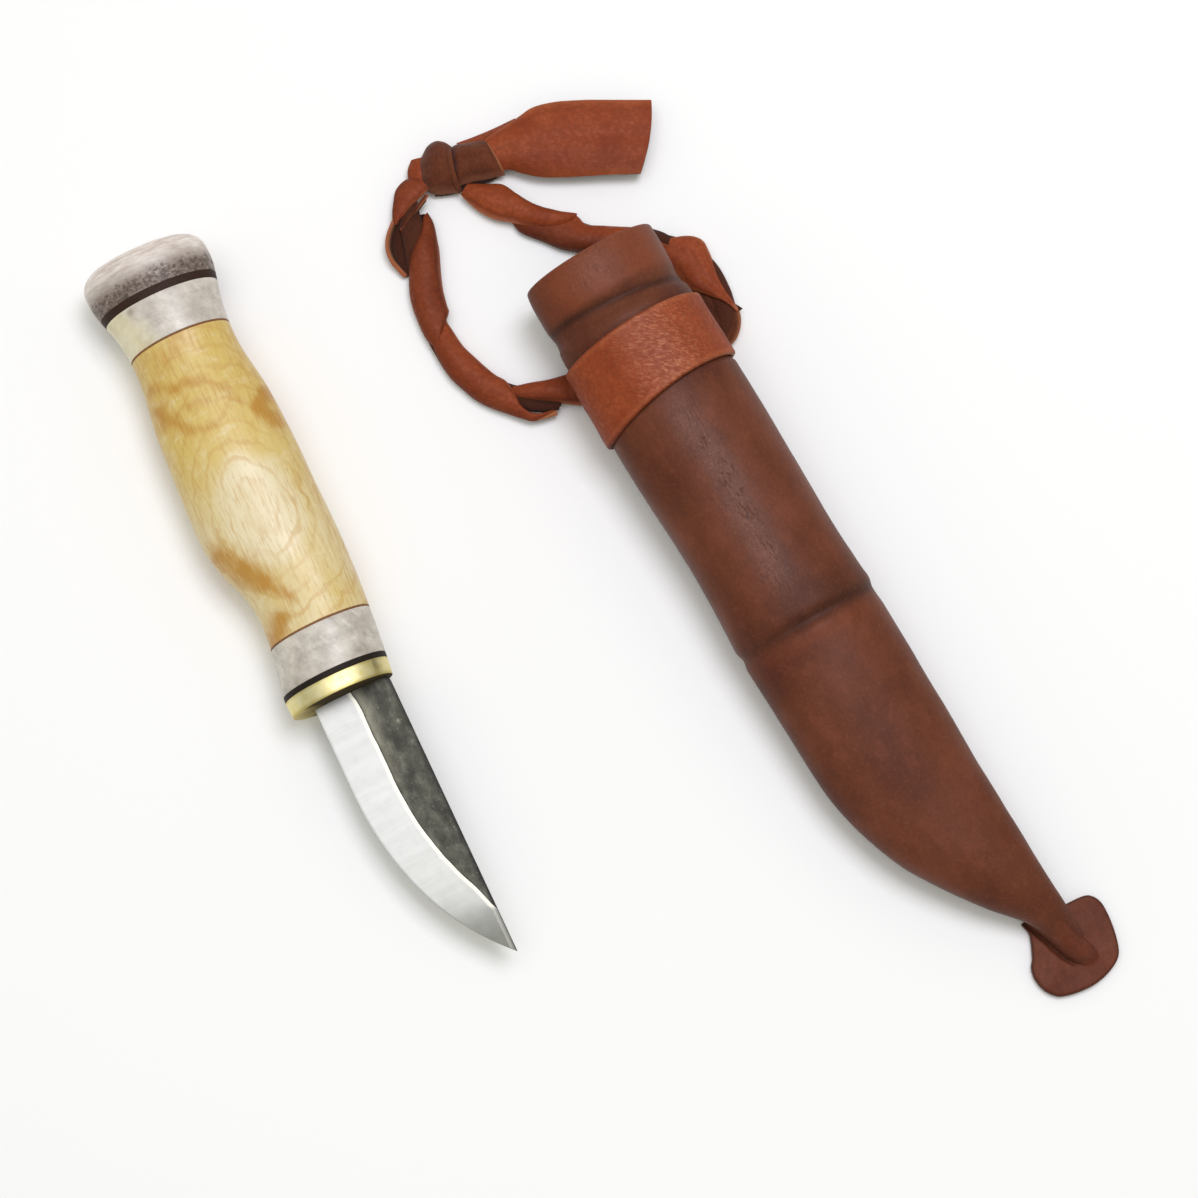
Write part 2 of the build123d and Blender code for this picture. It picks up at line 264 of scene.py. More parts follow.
class Paintbox:
    """Starts a material and offers the few mixes that all finishes share."""

    def __init__(self, name: str) -> None:
        """Make the material with its surface shader and place inputs."""
        self.material = bpy.data.materials.new(name)
        self.material.use_nodes = True
        self.tree = self.material.node_tree
        self.surface = self.tree.nodes["Principled BSDF"]
        self.place = add_node(self.tree, "ShaderNodeTexCoord").outputs["Object"]

    def painted(self, key: str) -> bpy.types.NodeSocket:
        """Value painted on the mesh under a name."""
        return add_node(self.tree, "ShaderNodeAttribute", attribute_name=key).outputs["Fac"]

    def stretched(self, size: float, stretch: Point, turn: float, shift: float = 0.0) -> bpy.types.NodeSocket:
        """Places for a pattern whose swells or cells have a real size.

        Args:
            size: size of a swell or a cell in millimetres.
            stretch: how much longer they are along X, Y and Z.
            turn: angle of the stretch about Z, in degrees.
            shift: moves the pattern, in metres.

        Returns:
            The places, turned and scaled.
        """
        moved = add_node(self.tree, "ShaderNodeMapping", {
            "Vector": self.place, "Rotation": (0, 0, math.radians(-turn)), "Location": (shift, shift, 0)},
            vector_type="POINT")
        scale = tuple(1 / (size * MM * s) for s in stretch)
        scaled = add_node(self.tree, "ShaderNodeMapping", {"Vector": moved.outputs[0], "Scale": scale})
        return scaled.outputs[0]

    def noise(self, size: float, detail: float = 4.0, stretch: Point = (1, 1, 1), rough: float = 0.55,
              turn: float = 0.0, shift: float = 0.0) -> bpy.types.NodeSocket:
        """Noise with swells of a real size.

        Args:
            size: size of a swell in millimetres.
            detail: how many finer layers it holds.
            stretch: how much longer the swells are along X, Y and Z.
            rough: strength of the finer layers.
            turn: angle of the stretch about Z, in degrees.
            shift: moves the pattern, in metres.

        Returns:
            The noise value.
        """
        return add_node(self.tree, "ShaderNodeTexNoise", {
            "Vector": self.stretched(size, stretch, turn, shift), "Scale": 1.0, "Detail": detail,
            "Roughness": rough}).outputs["Fac"]

    def cracks(self, size: float, stretch: Point = (1, 1, 1), turn: float = 0.0) -> bpy.types.NodeSocket:
        """Crazed pattern, 0 on its lines and rising into its cells.

        Args:
            size: size of a cell in millimetres.
            stretch: how much longer the cells are along X, Y and Z.
            turn: angle of the stretch about Z, in degrees.

        Returns:
            The distance from the nearest line.
        """
        return add_node(self.tree, "ShaderNodeTexVoronoi", {
            "Vector": self.stretched(size, stretch, turn), "Scale": 1.0},
            feature="DISTANCE_TO_EDGE").outputs["Distance"]

    def ramp(self, value: bpy.types.NodeSocket, stops: Sequence[tuple[float, str]]) -> bpy.types.NodeSocket:
        """Colour from a value, through hex colours at stops."""
        node = add_node(self.tree, "ShaderNodeValToRGB", {"Fac": value})
        while len(node.color_ramp.elements) < len(stops):
            node.color_ramp.elements.new(0.5)
        for element, (position, code) in zip(node.color_ramp.elements, stops):
            element.position = position
            element.color = linear(code)
        return node.outputs["Color"]

    def span(self, value: bpy.types.NodeSocket, low: float, high: float, to_low: float = 0.0,
             to_high: float = 1.0) -> bpy.types.NodeSocket:
        """Carry a value from one span to another, held at its ends."""
        return add_node(self.tree, "ShaderNodeMapRange", {
            "Value": value, "From Min": low, "From Max": high, "To Min": to_low, "To Max": to_high},
            interpolation_type="SMOOTHSTEP").outputs[0]

    def blend(self, share: bpy.types.NodeSocket | float, a: object, b: object) -> bpy.types.NodeSocket:
        """Mix two colours.

        Args:
            share: how much of the second.
            a: the first colour, a socket or a hex colour.
            b: the second colour, a socket or a hex colour.

        Returns:
            The mixed colour.
        """
        node = add_node(self.tree, "ShaderNodeMix", data_type="RGBA")
        for number, value in ((0, share), (6, a), (7, b)):
            if isinstance(value, bpy.types.NodeSocket):
                self.tree.links.new(value, node.inputs[number])
            else:
                node.inputs[number].default_value = linear(value) if isinstance(value, str) else value
        return node.outputs[2]

    def sum(self, a: object, b: object) -> bpy.types.NodeSocket:
        """Add two values."""
        return add_node(self.tree, "ShaderNodeMath", {0: a, 1: b}, operation="ADD").outputs[0]

    def times(self, a: object, b: object) -> bpy.types.NodeSocket:
        """Multiply two values."""
        return add_node(self.tree, "ShaderNodeMath", {0: a, 1: b}, operation="MULTIPLY").outputs[0]

    def wave(self, turns: bpy.types.NodeSocket) -> bpy.types.NodeSocket:
        """Sine of a number of whole turns, from -1 to 1."""
        angle = self.times(turns, math.tau)
        return add_node(self.tree, "ShaderNodeMath", {0: angle}, operation="SINE").outputs[0]

    def relief(self, height: bpy.types.NodeSocket, depth: float, strength: float = 1.0) -> None:
        """Raise the surface by a height value, depth in millimetres."""
        before = self.surface.inputs["Normal"].links
        inputs = {"Height": height, "Distance": depth * MM, "Strength": strength}
        if before:
            inputs["Normal"] = before[0].from_socket
        node = add_node(self.tree, "ShaderNodeBump", inputs)
        self.tree.links.new(node.outputs[0], self.surface.inputs["Normal"])

    def set(self, **inputs: object) -> None:
        """Set or link the surface shader's inputs, underscores standing for spaces."""
        for key, value in inputs.items():
            socket = self.surface.inputs[key.replace("_", " ")]
            if isinstance(value, bpy.types.NodeSocket):
                self.tree.links.new(value, socket)
            else:
                socket.default_value = linear(value) if isinstance(value, str) else value


@dataclass(frozen=True)
class CurlyBirch:
    """Curly birch, turned, sanded and oiled: satin, with silky swells and amber flames."""

    pale: str = "#E8D9AE"
    honey: str = "#D9BD6A"
    flame: str = "#BD8832"

    def make(self) -> bpy.types.Material:
        """Build the material."""
        box = Paintbox("curly_birch_oiled")
        cloud = box.noise(5, 4, (2.2, 1, 1), 0.55)
        paleness = box.sum(box.painted("pale"), box.times(cloud, 0.7))
        body = box.blend(box.span(paleness, 0.3, 1.05), self.honey, self.pale)
        # Curl: ripples across the grain, which catch the light in silky bars.
        curl = box.noise(2.2, 4, (0.7, 2.0, 1), 0.6, shift=0.02)
        body = box.blend(box.span(curl, 0.48, 0.75, 0.0, 0.35), body, "#EFE2BC")
        # Growth lines close in long uneven loops round the pale heart and come and go.
        swell = box.noise(6, 4, (2.2, 1, 1), 0.55, shift=0.03)
        rings = box.sum(box.painted("loops"), box.times(swell, 1.5))
        lines = box.wave(rings)
        seen = box.span(box.noise(9, 3, (1.5, 1, 1), 0.6, shift=0.07), 0.35, 0.65, 0.1, 0.5)
        body = box.blend(box.times(box.span(lines, 0.5, 1.0), seen), body, "#C79A4A")
        fibre = box.noise(0.5, 3, (10, 1, 1), 0.6)
        body = box.blend(box.span(fibre, 0.46, 0.75, 0.0, 0.42), body, "#C49A4C")
        pores = box.noise(0.35, 2, (6, 1, 1), 0.5, shift=0.05)
        body = box.blend(box.span(pores, 0.64, 0.76, 0.0, 0.4), body, "#98692F")
        # Flames: amber streaks with feathered, grainy edges.
        feather = box.sum(box.noise(1.6, 5, (3.0, 1, 1), 0.7, shift=0.01), box.times(fibre, 0.7))
        share = box.span(box.sum(box.painted("amber"), feather), 0.82, 1.95, 0.0, 0.95)
        body = box.blend(share, body, self.flame)
        box.set(Base_Color=body, Roughness=box.span(fibre, 0.3, 0.8, 0.36, 0.48), Coat_Weight=0.12,
                Coat_Roughness=0.25)
        box.relief(fibre, 0.03, 0.5)
        return box.material


class AntlerPart(Enum):
    """Where on the antler a piece was cut."""

    RING = "ring"
    BUTT = "butt"


@dataclass(frozen=True)
class Antler:
    """Reindeer antler, sawn and polished: pale grey, cloudy, satin; porous where the marrow shows."""

    part: AntlerPart = AntlerPart.RING

    def make(self) -> bpy.types.Material:
        """Build the material."""
        box = Paintbox(f"antler_{self.part.value}_polished")
        cloud = box.noise(3.0, 5, (1, 1.3, 1), 0.62)
        body = box.ramp(cloud, [(0.25, "#A79E92"), (0.45, "#C1B9AB"), (0.6, "#D3CBBD"), (0.8, "#E6E0D2")])
        veins = box.noise(1.7, 5, (2.6, 1, 1), 0.68, 40.0, 0.02)
        body = box.blend(box.span(veins, 0.54, 0.76, 0.0, 0.6), body, "#EEEAE0")
        body = box.blend(box.span(veins, 0.47, 0.28, 0.0, 0.55), body, "#958B80")
        body = box.blend(box.painted("cream"), body, box.ramp(cloud, [(0.3, "#D6C99C"), (0.6, "#E6DDB8")]))
        bands = box.noise(1.1, 4, (0.7, 3.5, 3.5), 0.6, shift=0.06)
        butt = box.ramp(bands, [(0.36, "#C9B8AD"), (0.5, "#E3D6CB"), (0.66, "#F3EBE2")])
        body = box.blend(box.times(box.painted("rose"), 0.9), body, butt)
        # Where the marrow shows, the wall turns brown and dark pores stand ever closer.
        marrow = box.painted("pores")
        body = box.blend(box.times(marrow, 0.9), body, "#776458")
        walls = box.noise(1.0, 4, (0.8, 1.8, 1.8), 0.7, shift=0.09)
        body = box.blend(box.times(box.span(walls, 0.52, 0.7, 0.0, 0.8), marrow), body, "#B39F90")
        specks = box.noise(0.8, 4, (1, 1.3, 1.3), 0.72, shift=0.04)
        share = box.span(box.sum(box.times(marrow, 0.4), specks), 0.76, 1.04, 0.0, 0.8)
        body = box.blend(share, body, "#3B2A22")
        box.set(Base_Color=body, Roughness=box.span(share, 0, 1, 0.34, 0.65), Coat_Weight=0.1,
                Coat_Roughness=0.2)
        box.relief(box.times(specks, share), 0.25, 0.5)
        return box.material


@dataclass(frozen=True)
class Fibre:
    """Vulcanised fibre spacer, pressed and sanded: dense, matt, with a faint fleck."""

    name: str
    colour: str
    fleck: str

    def make(self) -> bpy.types.Material:
        """Build the material."""
        box = Paintbox(self.name)
        grain = box.noise(0.5, 3)
        box.set(Base_Color=box.ramp(grain, [(0.35, self.colour), (0.75, self.fleck)]), Roughness=0.6,
                Specular_IOR_Level=0.2)
        box.relief(grain, 0.03, 0.4)
        return box.material


@dataclass(frozen=True)
class Brass:
    """Brass plate, filed and polished: pale gold with fine lines, painted shade on its front face and a
    painted dark reflection.
    """

    def make(self) -> bpy.types.Material:
        """Build the material."""
        box = Paintbox("brass_polished")
        lines = box.noise(0.25, 2, (1, 20, 20), 0.5)
        tarnish = box.noise(2.4, 4, (1, 1, 1), 0.6, shift=0.02)
        body = box.ramp(tarnish, [(0.3, "#E2D48E"), (0.55, "#EDE2AC"), (0.8, "#F4ECC6")])
        body = box.blend(box.painted("rim"), body, "#B8A356")
        # Painted shade on the front face round the blade and a painted dark reflection on the back side: dark
        # brown and not metallic there.
        shade_and_reflection = box.painted("shade_and_reflection")
        box.set(Base_Color=box.blend(shade_and_reflection, body, "#2E2013"), Metallic=box.span(shade_and_reflection, 0.3, 0.9, 1.0, 0.0),
                Roughness=box.span(shade_and_reflection, 0.0, 1.0, 0.5, 0.9), Specular_IOR_Level=0.2)
        box.relief(lines, 0.01, 0.15)
        return box.material


class SteelPart(Enum):
    """How a part of the blade's surface was left."""

    SCALE = "forge_scale"
    GROUND = "ground"


@dataclass(frozen=True)
class BladeSteel:
    """Carbon steel: forge scale leaves the flats dark and mottled, the belt leaves the bevel bright."""

    part: SteelPart

    def make(self) -> bpy.types.Material:
        """Build the material."""
        box = Paintbox(f"carbon_steel_{self.part.value}")
        if self.part is SteelPart.SCALE:
            patch = box.noise(2.4, 6, (1.5, 1, 1), 0.68)
            body = box.ramp(patch, [(0.3, "#2F2E27"), (0.5, "#403F36"), (0.66, "#4F4E42"), (0.8, "#6D6B5B")])
            body = box.blend(box.painted("sheen"), body, "#868371")
            pits = box.noise(0.5, 4, (1, 1, 1), 0.7, shift=0.03)
            body = box.blend(box.span(pits, 0.6, 0.75, 0.0, 0.55), body, "#8F8C80")
            body = box.blend(box.span(pits, 0.42, 0.3, 0.0, 0.5), body, "#1C1B18")
            box.set(Base_Color=box.blend(box.painted("dark"), body, "#171614"), Metallic=0.7,
                    Roughness=box.span(patch, 0.35, 0.7, 0.52, 0.42))
            box.relief(patch, 0.05, 0.4)
            box.relief(pits, 0.05, 0.4)
            return box.material
        # The belt's scratches run across the bevel, square to the edge, and are barely seen.
        scratch = box.noise(0.2, 3, (1, 30, 30), 0.6)
        wide = box.noise(2.6, 2, (1, 20, 20), 0.5, shift=0.02)
        tone = box.sum(box.times(scratch, 0.5), box.times(wide, 0.5))
        body = box.ramp(tone, [(0.3, "#C8C8C2"), (0.5, "#D0D0CA"), (0.7, "#D8D8D2")])
        body = box.blend(box.painted("dark"), body, "#74756D")
        box.set(Base_Color=box.blend(box.painted("glint"), body, "#FFFBE9"), Metallic=1.0,
                Roughness=box.span(box.painted("glint"), 0.0, 1.0, 0.34, 0.5))
        box.relief(scratch, 0.01, 0.2)
        return box.material


class LeatherSide(Enum):
    """Which side of a hide shows."""

    GRAIN = "grain"
    FLESH = "flesh"


@dataclass(frozen=True)
class SheathLeather:
    """Vegetable-tanned leather, wet-moulded, dyed red-brown and waxed: smooth with a soft sheen."""

    side: LeatherSide = LeatherSide.GRAIN
    turn: float = 0.0

    def make(self) -> bpy.types.Material:
        """Build the material."""
        box = Paintbox(f"sheath_leather_{self.side.value}")
        if self.side is LeatherSide.FLESH:
            nap = box.noise(0.5, 4)
            box.set(Base_Color=box.ramp(nap, [(0.3, "#3B2219"), (0.7, "#5A3526")]), Roughness=0.9)
            box.relief(nap, 0.1, 0.6)
            return box.material
        dye = box.noise(13, 4, (1.6, 1, 1), 0.55, self.turn)
        body = box.ramp(dye, [(0.3, "#532719"), (0.5, "#64341F"), (0.72, "#713D2A")])
        blotch = box.noise(4.5, 5, (1.4, 1, 1), 0.65, self.turn, 0.02)
        body = box.blend(box.span(blotch, 0.48, 0.74, 0.0, 0.4), body, "#80452F")
        body = box.blend(box.span(blotch, 0.46, 0.26, 0.0, 0.35), body, "#4B2A20")
        # Painted shade from the mesh: the body's lower sides, groove and ridge, and the leaf's rim and fold.
        body = box.blend(box.painted("dark"), body, "#33190F")
        # Painted highlight from the mesh: the top of the mouth, the slope below the ridge and a line on the
        # leaf.
        body = box.blend(box.painted("rub"), body, "#91482B")
        # Fat wrinkles: where the hide was drawn over the handle its grain is crazed and catches the light.
        wrinkle = box.painted("wrinkle")
        crazed = box.cracks(1.1, (3.2, 0.9, 0.9), self.turn)
        patchy = box.span(box.noise(2.2, 4, (1.8, 1, 1), 0.7, self.turn, 0.05), 0.46, 0.66)
        line = box.times(box.times(box.span(crazed, 0.0, 0.16, 1.0, 0.0), patchy), wrinkle)
        body = box.blend(box.times(line, 0.6), body, "#3B1E14")
        # Painted glitter: paler specks in the crazed strip stand for light caught by the grain.
        shine = box.noise(0.45, 4, (1.6, 1, 1), 0.7, self.turn, 0.08)
        glitter = box.times(box.span(shine, 0.5, 0.75), wrinkle)
        body = box.blend(box.times(glitter, 0.45), body, "#9A7360")
        # Hair cells are finer than 0.3 mm; they are drawn a little coarser so that they show.
        cells = add_node(box.tree, "ShaderNodeTexVoronoi", {"Vector": box.place, "Scale": 1 / (0.55 * MM)})
        fine = box.noise(0.35, 3)
        grit = box.noise(0.8, 5, (1, 1, 1), 0.75, shift=0.03)
        body = box.blend(box.span(grit, 0.52, 0.72, 0.0, 0.28), body, "#8C533C")
        body = box.blend(box.span(grit, 0.48, 0.3, 0.0, 0.3), body, "#40211A")
        box.set(Base_Color=body, Roughness=box.span(dye, 0.3, 0.7, 0.54, 0.46), Sheen_Weight=0.03,
                Specular_IOR_Level=box.span(wrinkle, 0.0, 1.0, 0.17, 0.32))
        box.relief(box.times(cells.outputs["Distance"], fine), 0.1, 0.4)
        box.relief(box.times(line, -1.0), 0.12, 0.7)
        return box.material


@dataclass(frozen=True)
class ThongLeather:
    """Soft tan leather strap: pebbled grain that sparkles in the light, suede flesh side, dark cut edges."""

    side: LeatherSide = LeatherSide.GRAIN

    def make(self) -> bpy.types.Material:
        """Build the material."""
        box = Paintbox(f"thong_leather_{self.side.value}")
        if self.side is LeatherSide.FLESH:
            nap = box.noise(0.6, 5, (1, 1, 1), 0.7)
            body = box.ramp(box.noise(4, 3), [(0.3, "#552613"), (0.6, "#68341D")])
            body = box.blend(box.span(nap, 0.4, 0.7, 0.0, 0.45), body, "#7E452A")
            # Painted shade and painted highlight, as the mesh gives them.
            body = box.blend(box.painted("dark"), body, "#250F07")
            box.set(Base_Color=box.blend(box.painted("rub"), body, "#B0714C"), Roughness=0.85,
                    Specular_IOR_Level=0.2, Sheen_Weight=0.1, Sheen_Roughness=0.5)
            box.relief(nap, 0.2, 0.7)
            return box.material
        dye = box.noise(7, 4, (1, 1, 1), 0.6)
        body = box.ramp(dye, [(0.3, "#85371A"), (0.5, "#944221"), (0.72, "#A04D2A")])
        pebble = add_node(box.tree, "ShaderNodeTexVoronoi", {
            "Vector": box.place, "Scale": 1 / (0.85 * MM), "Randomness": 1.0}, feature="SMOOTH_F1")
        folds = box.noise(1.1, 4, (1, 1, 1), 0.65, shift=0.02)
        grain = box.sum(pebble.outputs["Distance"], box.times(folds, 0.8))
        body = box.blend(box.span(grain, 0.55, 1.0, 0.0, 0.4), body, "#763419")
        # Painted shade and painted highlight, as the mesh gives them.
        body = box.blend(box.painted("dark"), body, "#35160B")
        body = box.blend(box.painted("rub"), body, "#BE7048")
        # Where the strap is stretched its pebbles are glazed: a higher specular level, and their sparkle is a
        # painted highlight.
        glaze_and_sparkle = box.painted("wrinkle")
        bars = box.noise(0.55, 4, (0.7, 2.6, 1), 0.68, -30.0, 0.06)
        spark = box.times(box.span(bars, 0.45, 0.75), glaze_and_sparkle)
        body = box.blend(box.times(spark, 0.7), body, "#D48C62")
        box.set(Base_Color=body, Roughness=box.span(grain, 0.3, 1.0, 0.44, 0.6),
                Specular_IOR_Level=box.span(glaze_and_sparkle, 0.0, 1.0, 0.16, 0.3))
        box.relief(grain, 0.2, 0.45)
        box.relief(box.times(bars, glaze_and_sparkle), 0.12, 0.5)
        return box.material


@dataclass(frozen=True)
class LinerPlastic:
    """Polyethylene blade liner, moulded: black, matt, faintly orange-peeled."""

    def make(self) -> bpy.types.Material:
        """Build the material."""
        box = Paintbox("polyethylene_moulded")
        peel = box.noise(0.8, 2)
        box.set(Base_Color="#17171A", Roughness=box.span(peel, 0.3, 0.7, 0.45, 0.55))
        box.relief(peel, 0.02, 0.4)
        return box.material


@dataclass(frozen=True)
class GlueResin:
    """Epoxy, poured and set: amber, glossy."""

    def make(self) -> bpy.types.Material:
        """Build the material."""
        box = Paintbox("epoxy_set")
        box.set(Base_Color=box.ramp(box.noise(3, 2), [(0.3, "#A98B4E"), (0.7, "#C6A862")]), Roughness=0.2)
        return box.material


# -------------------------------------------------------------------- the knife
@dataclass
class Handle:
    """The oval handle: a stack of pieces on the tang, shaped as one."""

    # Behind the bolster's face: belly side, back side and upright thickness there.
    rows: tuple[Row, ...] = (
        (0.0, 11.2, 11.0, 19.0),
        (5.0, 11.3, 11.6, 19.4),
        (12.0, 9.9, 12.3, 18.3),
        (21.0, 9.1, 13.0, 17.2),
        (28.0, 10.2, 13.3, 17.9),
        (32.0, 11.8, 13.4, 18.3),
        (37.0, 13.1, 13.4, 18.9),
        (43.0, 13.6, 13.3, 19.2),
        (54.0, 13.2, 13.3, 19.3),
        (66.0, 12.5, 12.7, 18.3),
        (77.0, 11.1, 11.2, 17.2),
        (86.0, 11.3, 11.6, 18.3),
        (95.0, 13.6, 13.4, 19.0),
        (99.2, 14.0, 13.5, 19.4),
    )
    length: float = 103.1
    pommel_round: float = 4.2
    joint_round: float = 0.12       # each piece's edge is eased by this much
    bore_half: Row = (5.4, 2.2)
    bore_rise: float = 0.8
    blind: float = 6.0              # depth of the bore in the butt piece
    around: int = 96
    # Amber flames on the upper side: behind and across at both ends of a streak, width and strength.
    flames: tuple[Row, ...] = (
        (74.0, -9.0, 71.8, -4.6, 1.3, 0.50), (71.8, -4.6, 70.6, 1.6, 1.2, 0.60),
        (70.6, 1.6, 66.4, 4.9, 1.0, 0.55), (66.4, 4.9, 62.5, 6.9, 1.0, 0.50),
        (69.0, -9.5, 65.6, -8.2, 1.8, 0.75), (65.6, -8.2, 62.0, -5.2, 1.3, 0.70),
        (62.0, -5.2, 60.9, -0.2, 1.1, 0.60), (60.9, -0.2, 63.4, 4.0, 0.9, 0.40),
        (67.0, -4.0, 66.0, 0.5, 0.9, 0.45), (64.0, 11.5, 60.5, 9.4, 1.8, 1.00),
        (60.5, 9.4, 57.0, 11.2, 1.7, 0.80), (36.5, -10.8, 32.0, -7.6, 2.2, 0.85),
        (32.0, -7.6, 27.0, -5.0, 2.8, 1.00), (27.0, -5.0, 22.0, -1.0, 2.0, 0.70),
        (33.0, -4.5, 34.5, -1.0, 0.9, 0.45), (18.6, -5.0, 15.2, -8.4, 2.4, 1.00),
        (78.0, -6.0, 80.0, 2.0, 2.4, 0.35),
    )
    heart: Row = (41.5, 0.8, 11.0, 7.0)     # the pale oval: behind, across and half its length and width
    mirror: float = 96.0            # the lower side's figure is the upper one's, turned end for end

    def __post_init__(self) -> None:
        """Find the handle in the frame and smooth its rows."""
        low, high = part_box("brass_bolster")
        self.face = high.x / MM
        blade_low, blade_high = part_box("blade")
        self.axis_z = (blade_low.z + blade_high.z) / 2 / MM
        self.axis_y = low.y / MM + max(row[1] for row in smooth_rows(self.rows[:2], 8))
        self.dense = smooth_rows(self.rows, 10)

    def edge_inset(self, behind: float, front: float, rear: float) -> float:
        """How far the skin is drawn in near a joint or round the butt.

        Args:
            behind: place behind the bolster's face.
            front: the piece's front face.
            rear: the piece's rear face.

        Returns:
            The inset in millimetres.
        """
        inset = 0.0
        for distance in (behind - front, rear - behind):
            near = max(self.joint_round - distance, 0.0)
            inset = max(inset, self.joint_round - math.sqrt(max(self.joint_round**2 - near**2, 0.0)))
        start = self.length - self.pommel_round
        if behind > start:
            depth = min((behind - start) / self.pommel_round, 1.0)
            inset = self.pommel_round * (1 - math.sqrt(1 - depth * depth))
        return inset

    def outline(self, behind: float, inset: float = 0.0) -> list[Vector]:
        """Points round the handle at one place.

        Args:
            behind: place behind the bolster's face.
            inset: how far the skin is drawn in.

        Returns:
            The points in millimetres.
        """
        belly, back, thickness = at_row(self.dense, behind)
        middle, half_wide = (back - belly) / 2, (back + belly) / 2 - inset
        points = []
        for i in range(self.around):
            angle = math.tau * i / self.around
            y = middle + half_wide * math.cos(angle)
            z = (thickness / 2 - inset) * math.sin(angle)
            points.append(Vector((self.face - behind, self.axis_y + y, self.axis_z + z)))
        return points

    def bore(self, behind: float) -> list[Vector]:
        """Points round the slotted bore at one place."""
        half_wide, half_high = self.bore_half
        straight = half_wide - half_high
        points = []
        for i in range(self.around):
            angle = math.tau * i / self.around
            y = math.copysign(straight, math.cos(angle)) + half_high * math.cos(angle)
            z = half_high * math.sin(angle)
            points.append(Vector((self.face - behind, self.axis_y + self.bore_rise + y, self.axis_z + z)))
        return points

    def piece(self, name: str, front: float, rear: float, material: bpy.types.Material,
              rules: Rules) -> bpy.types.Object:
        """Build one piece of the stack with its bore.

        Args:
            name: the CAD node that it stands for.
            front: its front face, behind the bolster's face.
            rear: its rear face.
            material: its finish.
            rules: painted values, each from a place (behind, across, up).

        Returns:
            The piece.
        """
        closed_end = rear >= self.length
        soft = [i * self.joint_round / 3 for i in range(4)]
        steps = max(int((rear - front) / 0.6), 2)
        middle = [front + self.joint_round + (rear - front - 2 * self.joint_round) * i / steps
                  for i in range(1, steps)]
        places = [front + s for s in soft] + middle + [rear - s for s in reversed(soft)]
        if closed_end:
            start = self.length - self.pommel_round
            dome = [start + self.pommel_round * math.sin(math.radians(90) * i / 16) for i in range(1, 17)]
            places = [front + s for s in soft] + [p for p in middle if p < start] + [start] + dome
        skin = Skin.empty(name)
        rings = []
        for behind in places:
            points = self.outline(behind, self.edge_inset(behind, front, rear))
            local = [Vector((behind, p.y - self.axis_y, p.z - self.axis_z)) for p in points]
            painted = {key: [rule(p) for p in local] for key, rule in rules.items()}
            rings.append(skin.ring(points, **painted))
        for a, b in zip(rings, rings[1:]):
            skin.join(b, a)
        opening = self.bore(front)
        local = [Vector((front, p.y - self.axis_y, 0.0)) for p in opening]
        bore_front = skin.ring(opening, **{key: [rule(p) for p in local] for key, rule in rules.items()})
        skin.join(rings[0], bore_front)
        if closed_end:
            bore_rear = skin.ring(self.bore(front + self.blind))
            skin.join(bore_front, bore_rear)
            skin.cap(bore_rear)
            skin.cap(rings[-1], flip=True)
        else:
            bore_rear = skin.ring(self.bore(rear))
            skin.join(bore_front, bore_rear)
            skin.join(bore_rear, rings[-1])
        return skin.build([material])

    def figure(self, place: Vector) -> Vector:
        """Where the upper side's figure is read for a place.

        Args:
            place: behind, across and up.

        Returns:
            Behind and across on the upper side, bent a little by the grain.
        """
        spot = Vector((place.x, place.y)) if place.z > 0 else Vector((self.mirror - place.x, -place.y))
        warp = Vector((place.x, place.y, 9.0 if place.z > 0 else -9.0))
        return spot + Vector((0.9 * wobble(warp, 3.0), 0.9 * wobble(warp, 2.6, 5.0)))

    def flame(self, place: Vector) -> float:
        """Strength of the amber flames at a place."""
        spot = self.figure(place)
        total = 0.0
        for x0, y0, x1, y1, width, strength in self.flames:
            start, run = Vector((x0, y0)), Vector((x1 - x0, y1 - y0))
            share = min(max((spot - start).dot(run) / run.length_squared, 0.0), 1.0)
            away = (spot - start - run * share).length / width
            total = max(total, strength * math.exp(-away * away))
        rear = 0.16 * smoothstep(54.0, 74.0, place.x)
        sides = 0.22 * smoothstep(6.0, 13.0, abs(place.y))
        return min(total + rear + sides, 1.0)

    def reach(self, place: Vector) -> float:
        """Distance from the pale heart of the figure, 1 on its edge."""
        behind, across, half_long, half_wide = self.heart
        spot = self.figure(place)
        return math.hypot((spot.x - behind) / half_long, (spot.y - across) / half_wide)

    def loops(self, place: Vector) -> float:
        """Number of growth lines between a place and the heart of the figure."""
        return 2.6 * max(self.reach(place), 0.5)

    def pale(self, place: Vector) -> float:
        """How pale the wood is: palest in the heart, honey toward the ends."""
        return 0.55 * smoothstep(1.35, 0.7, self.reach(place)) + 0.35 * smoothstep(62, 40, place.x)


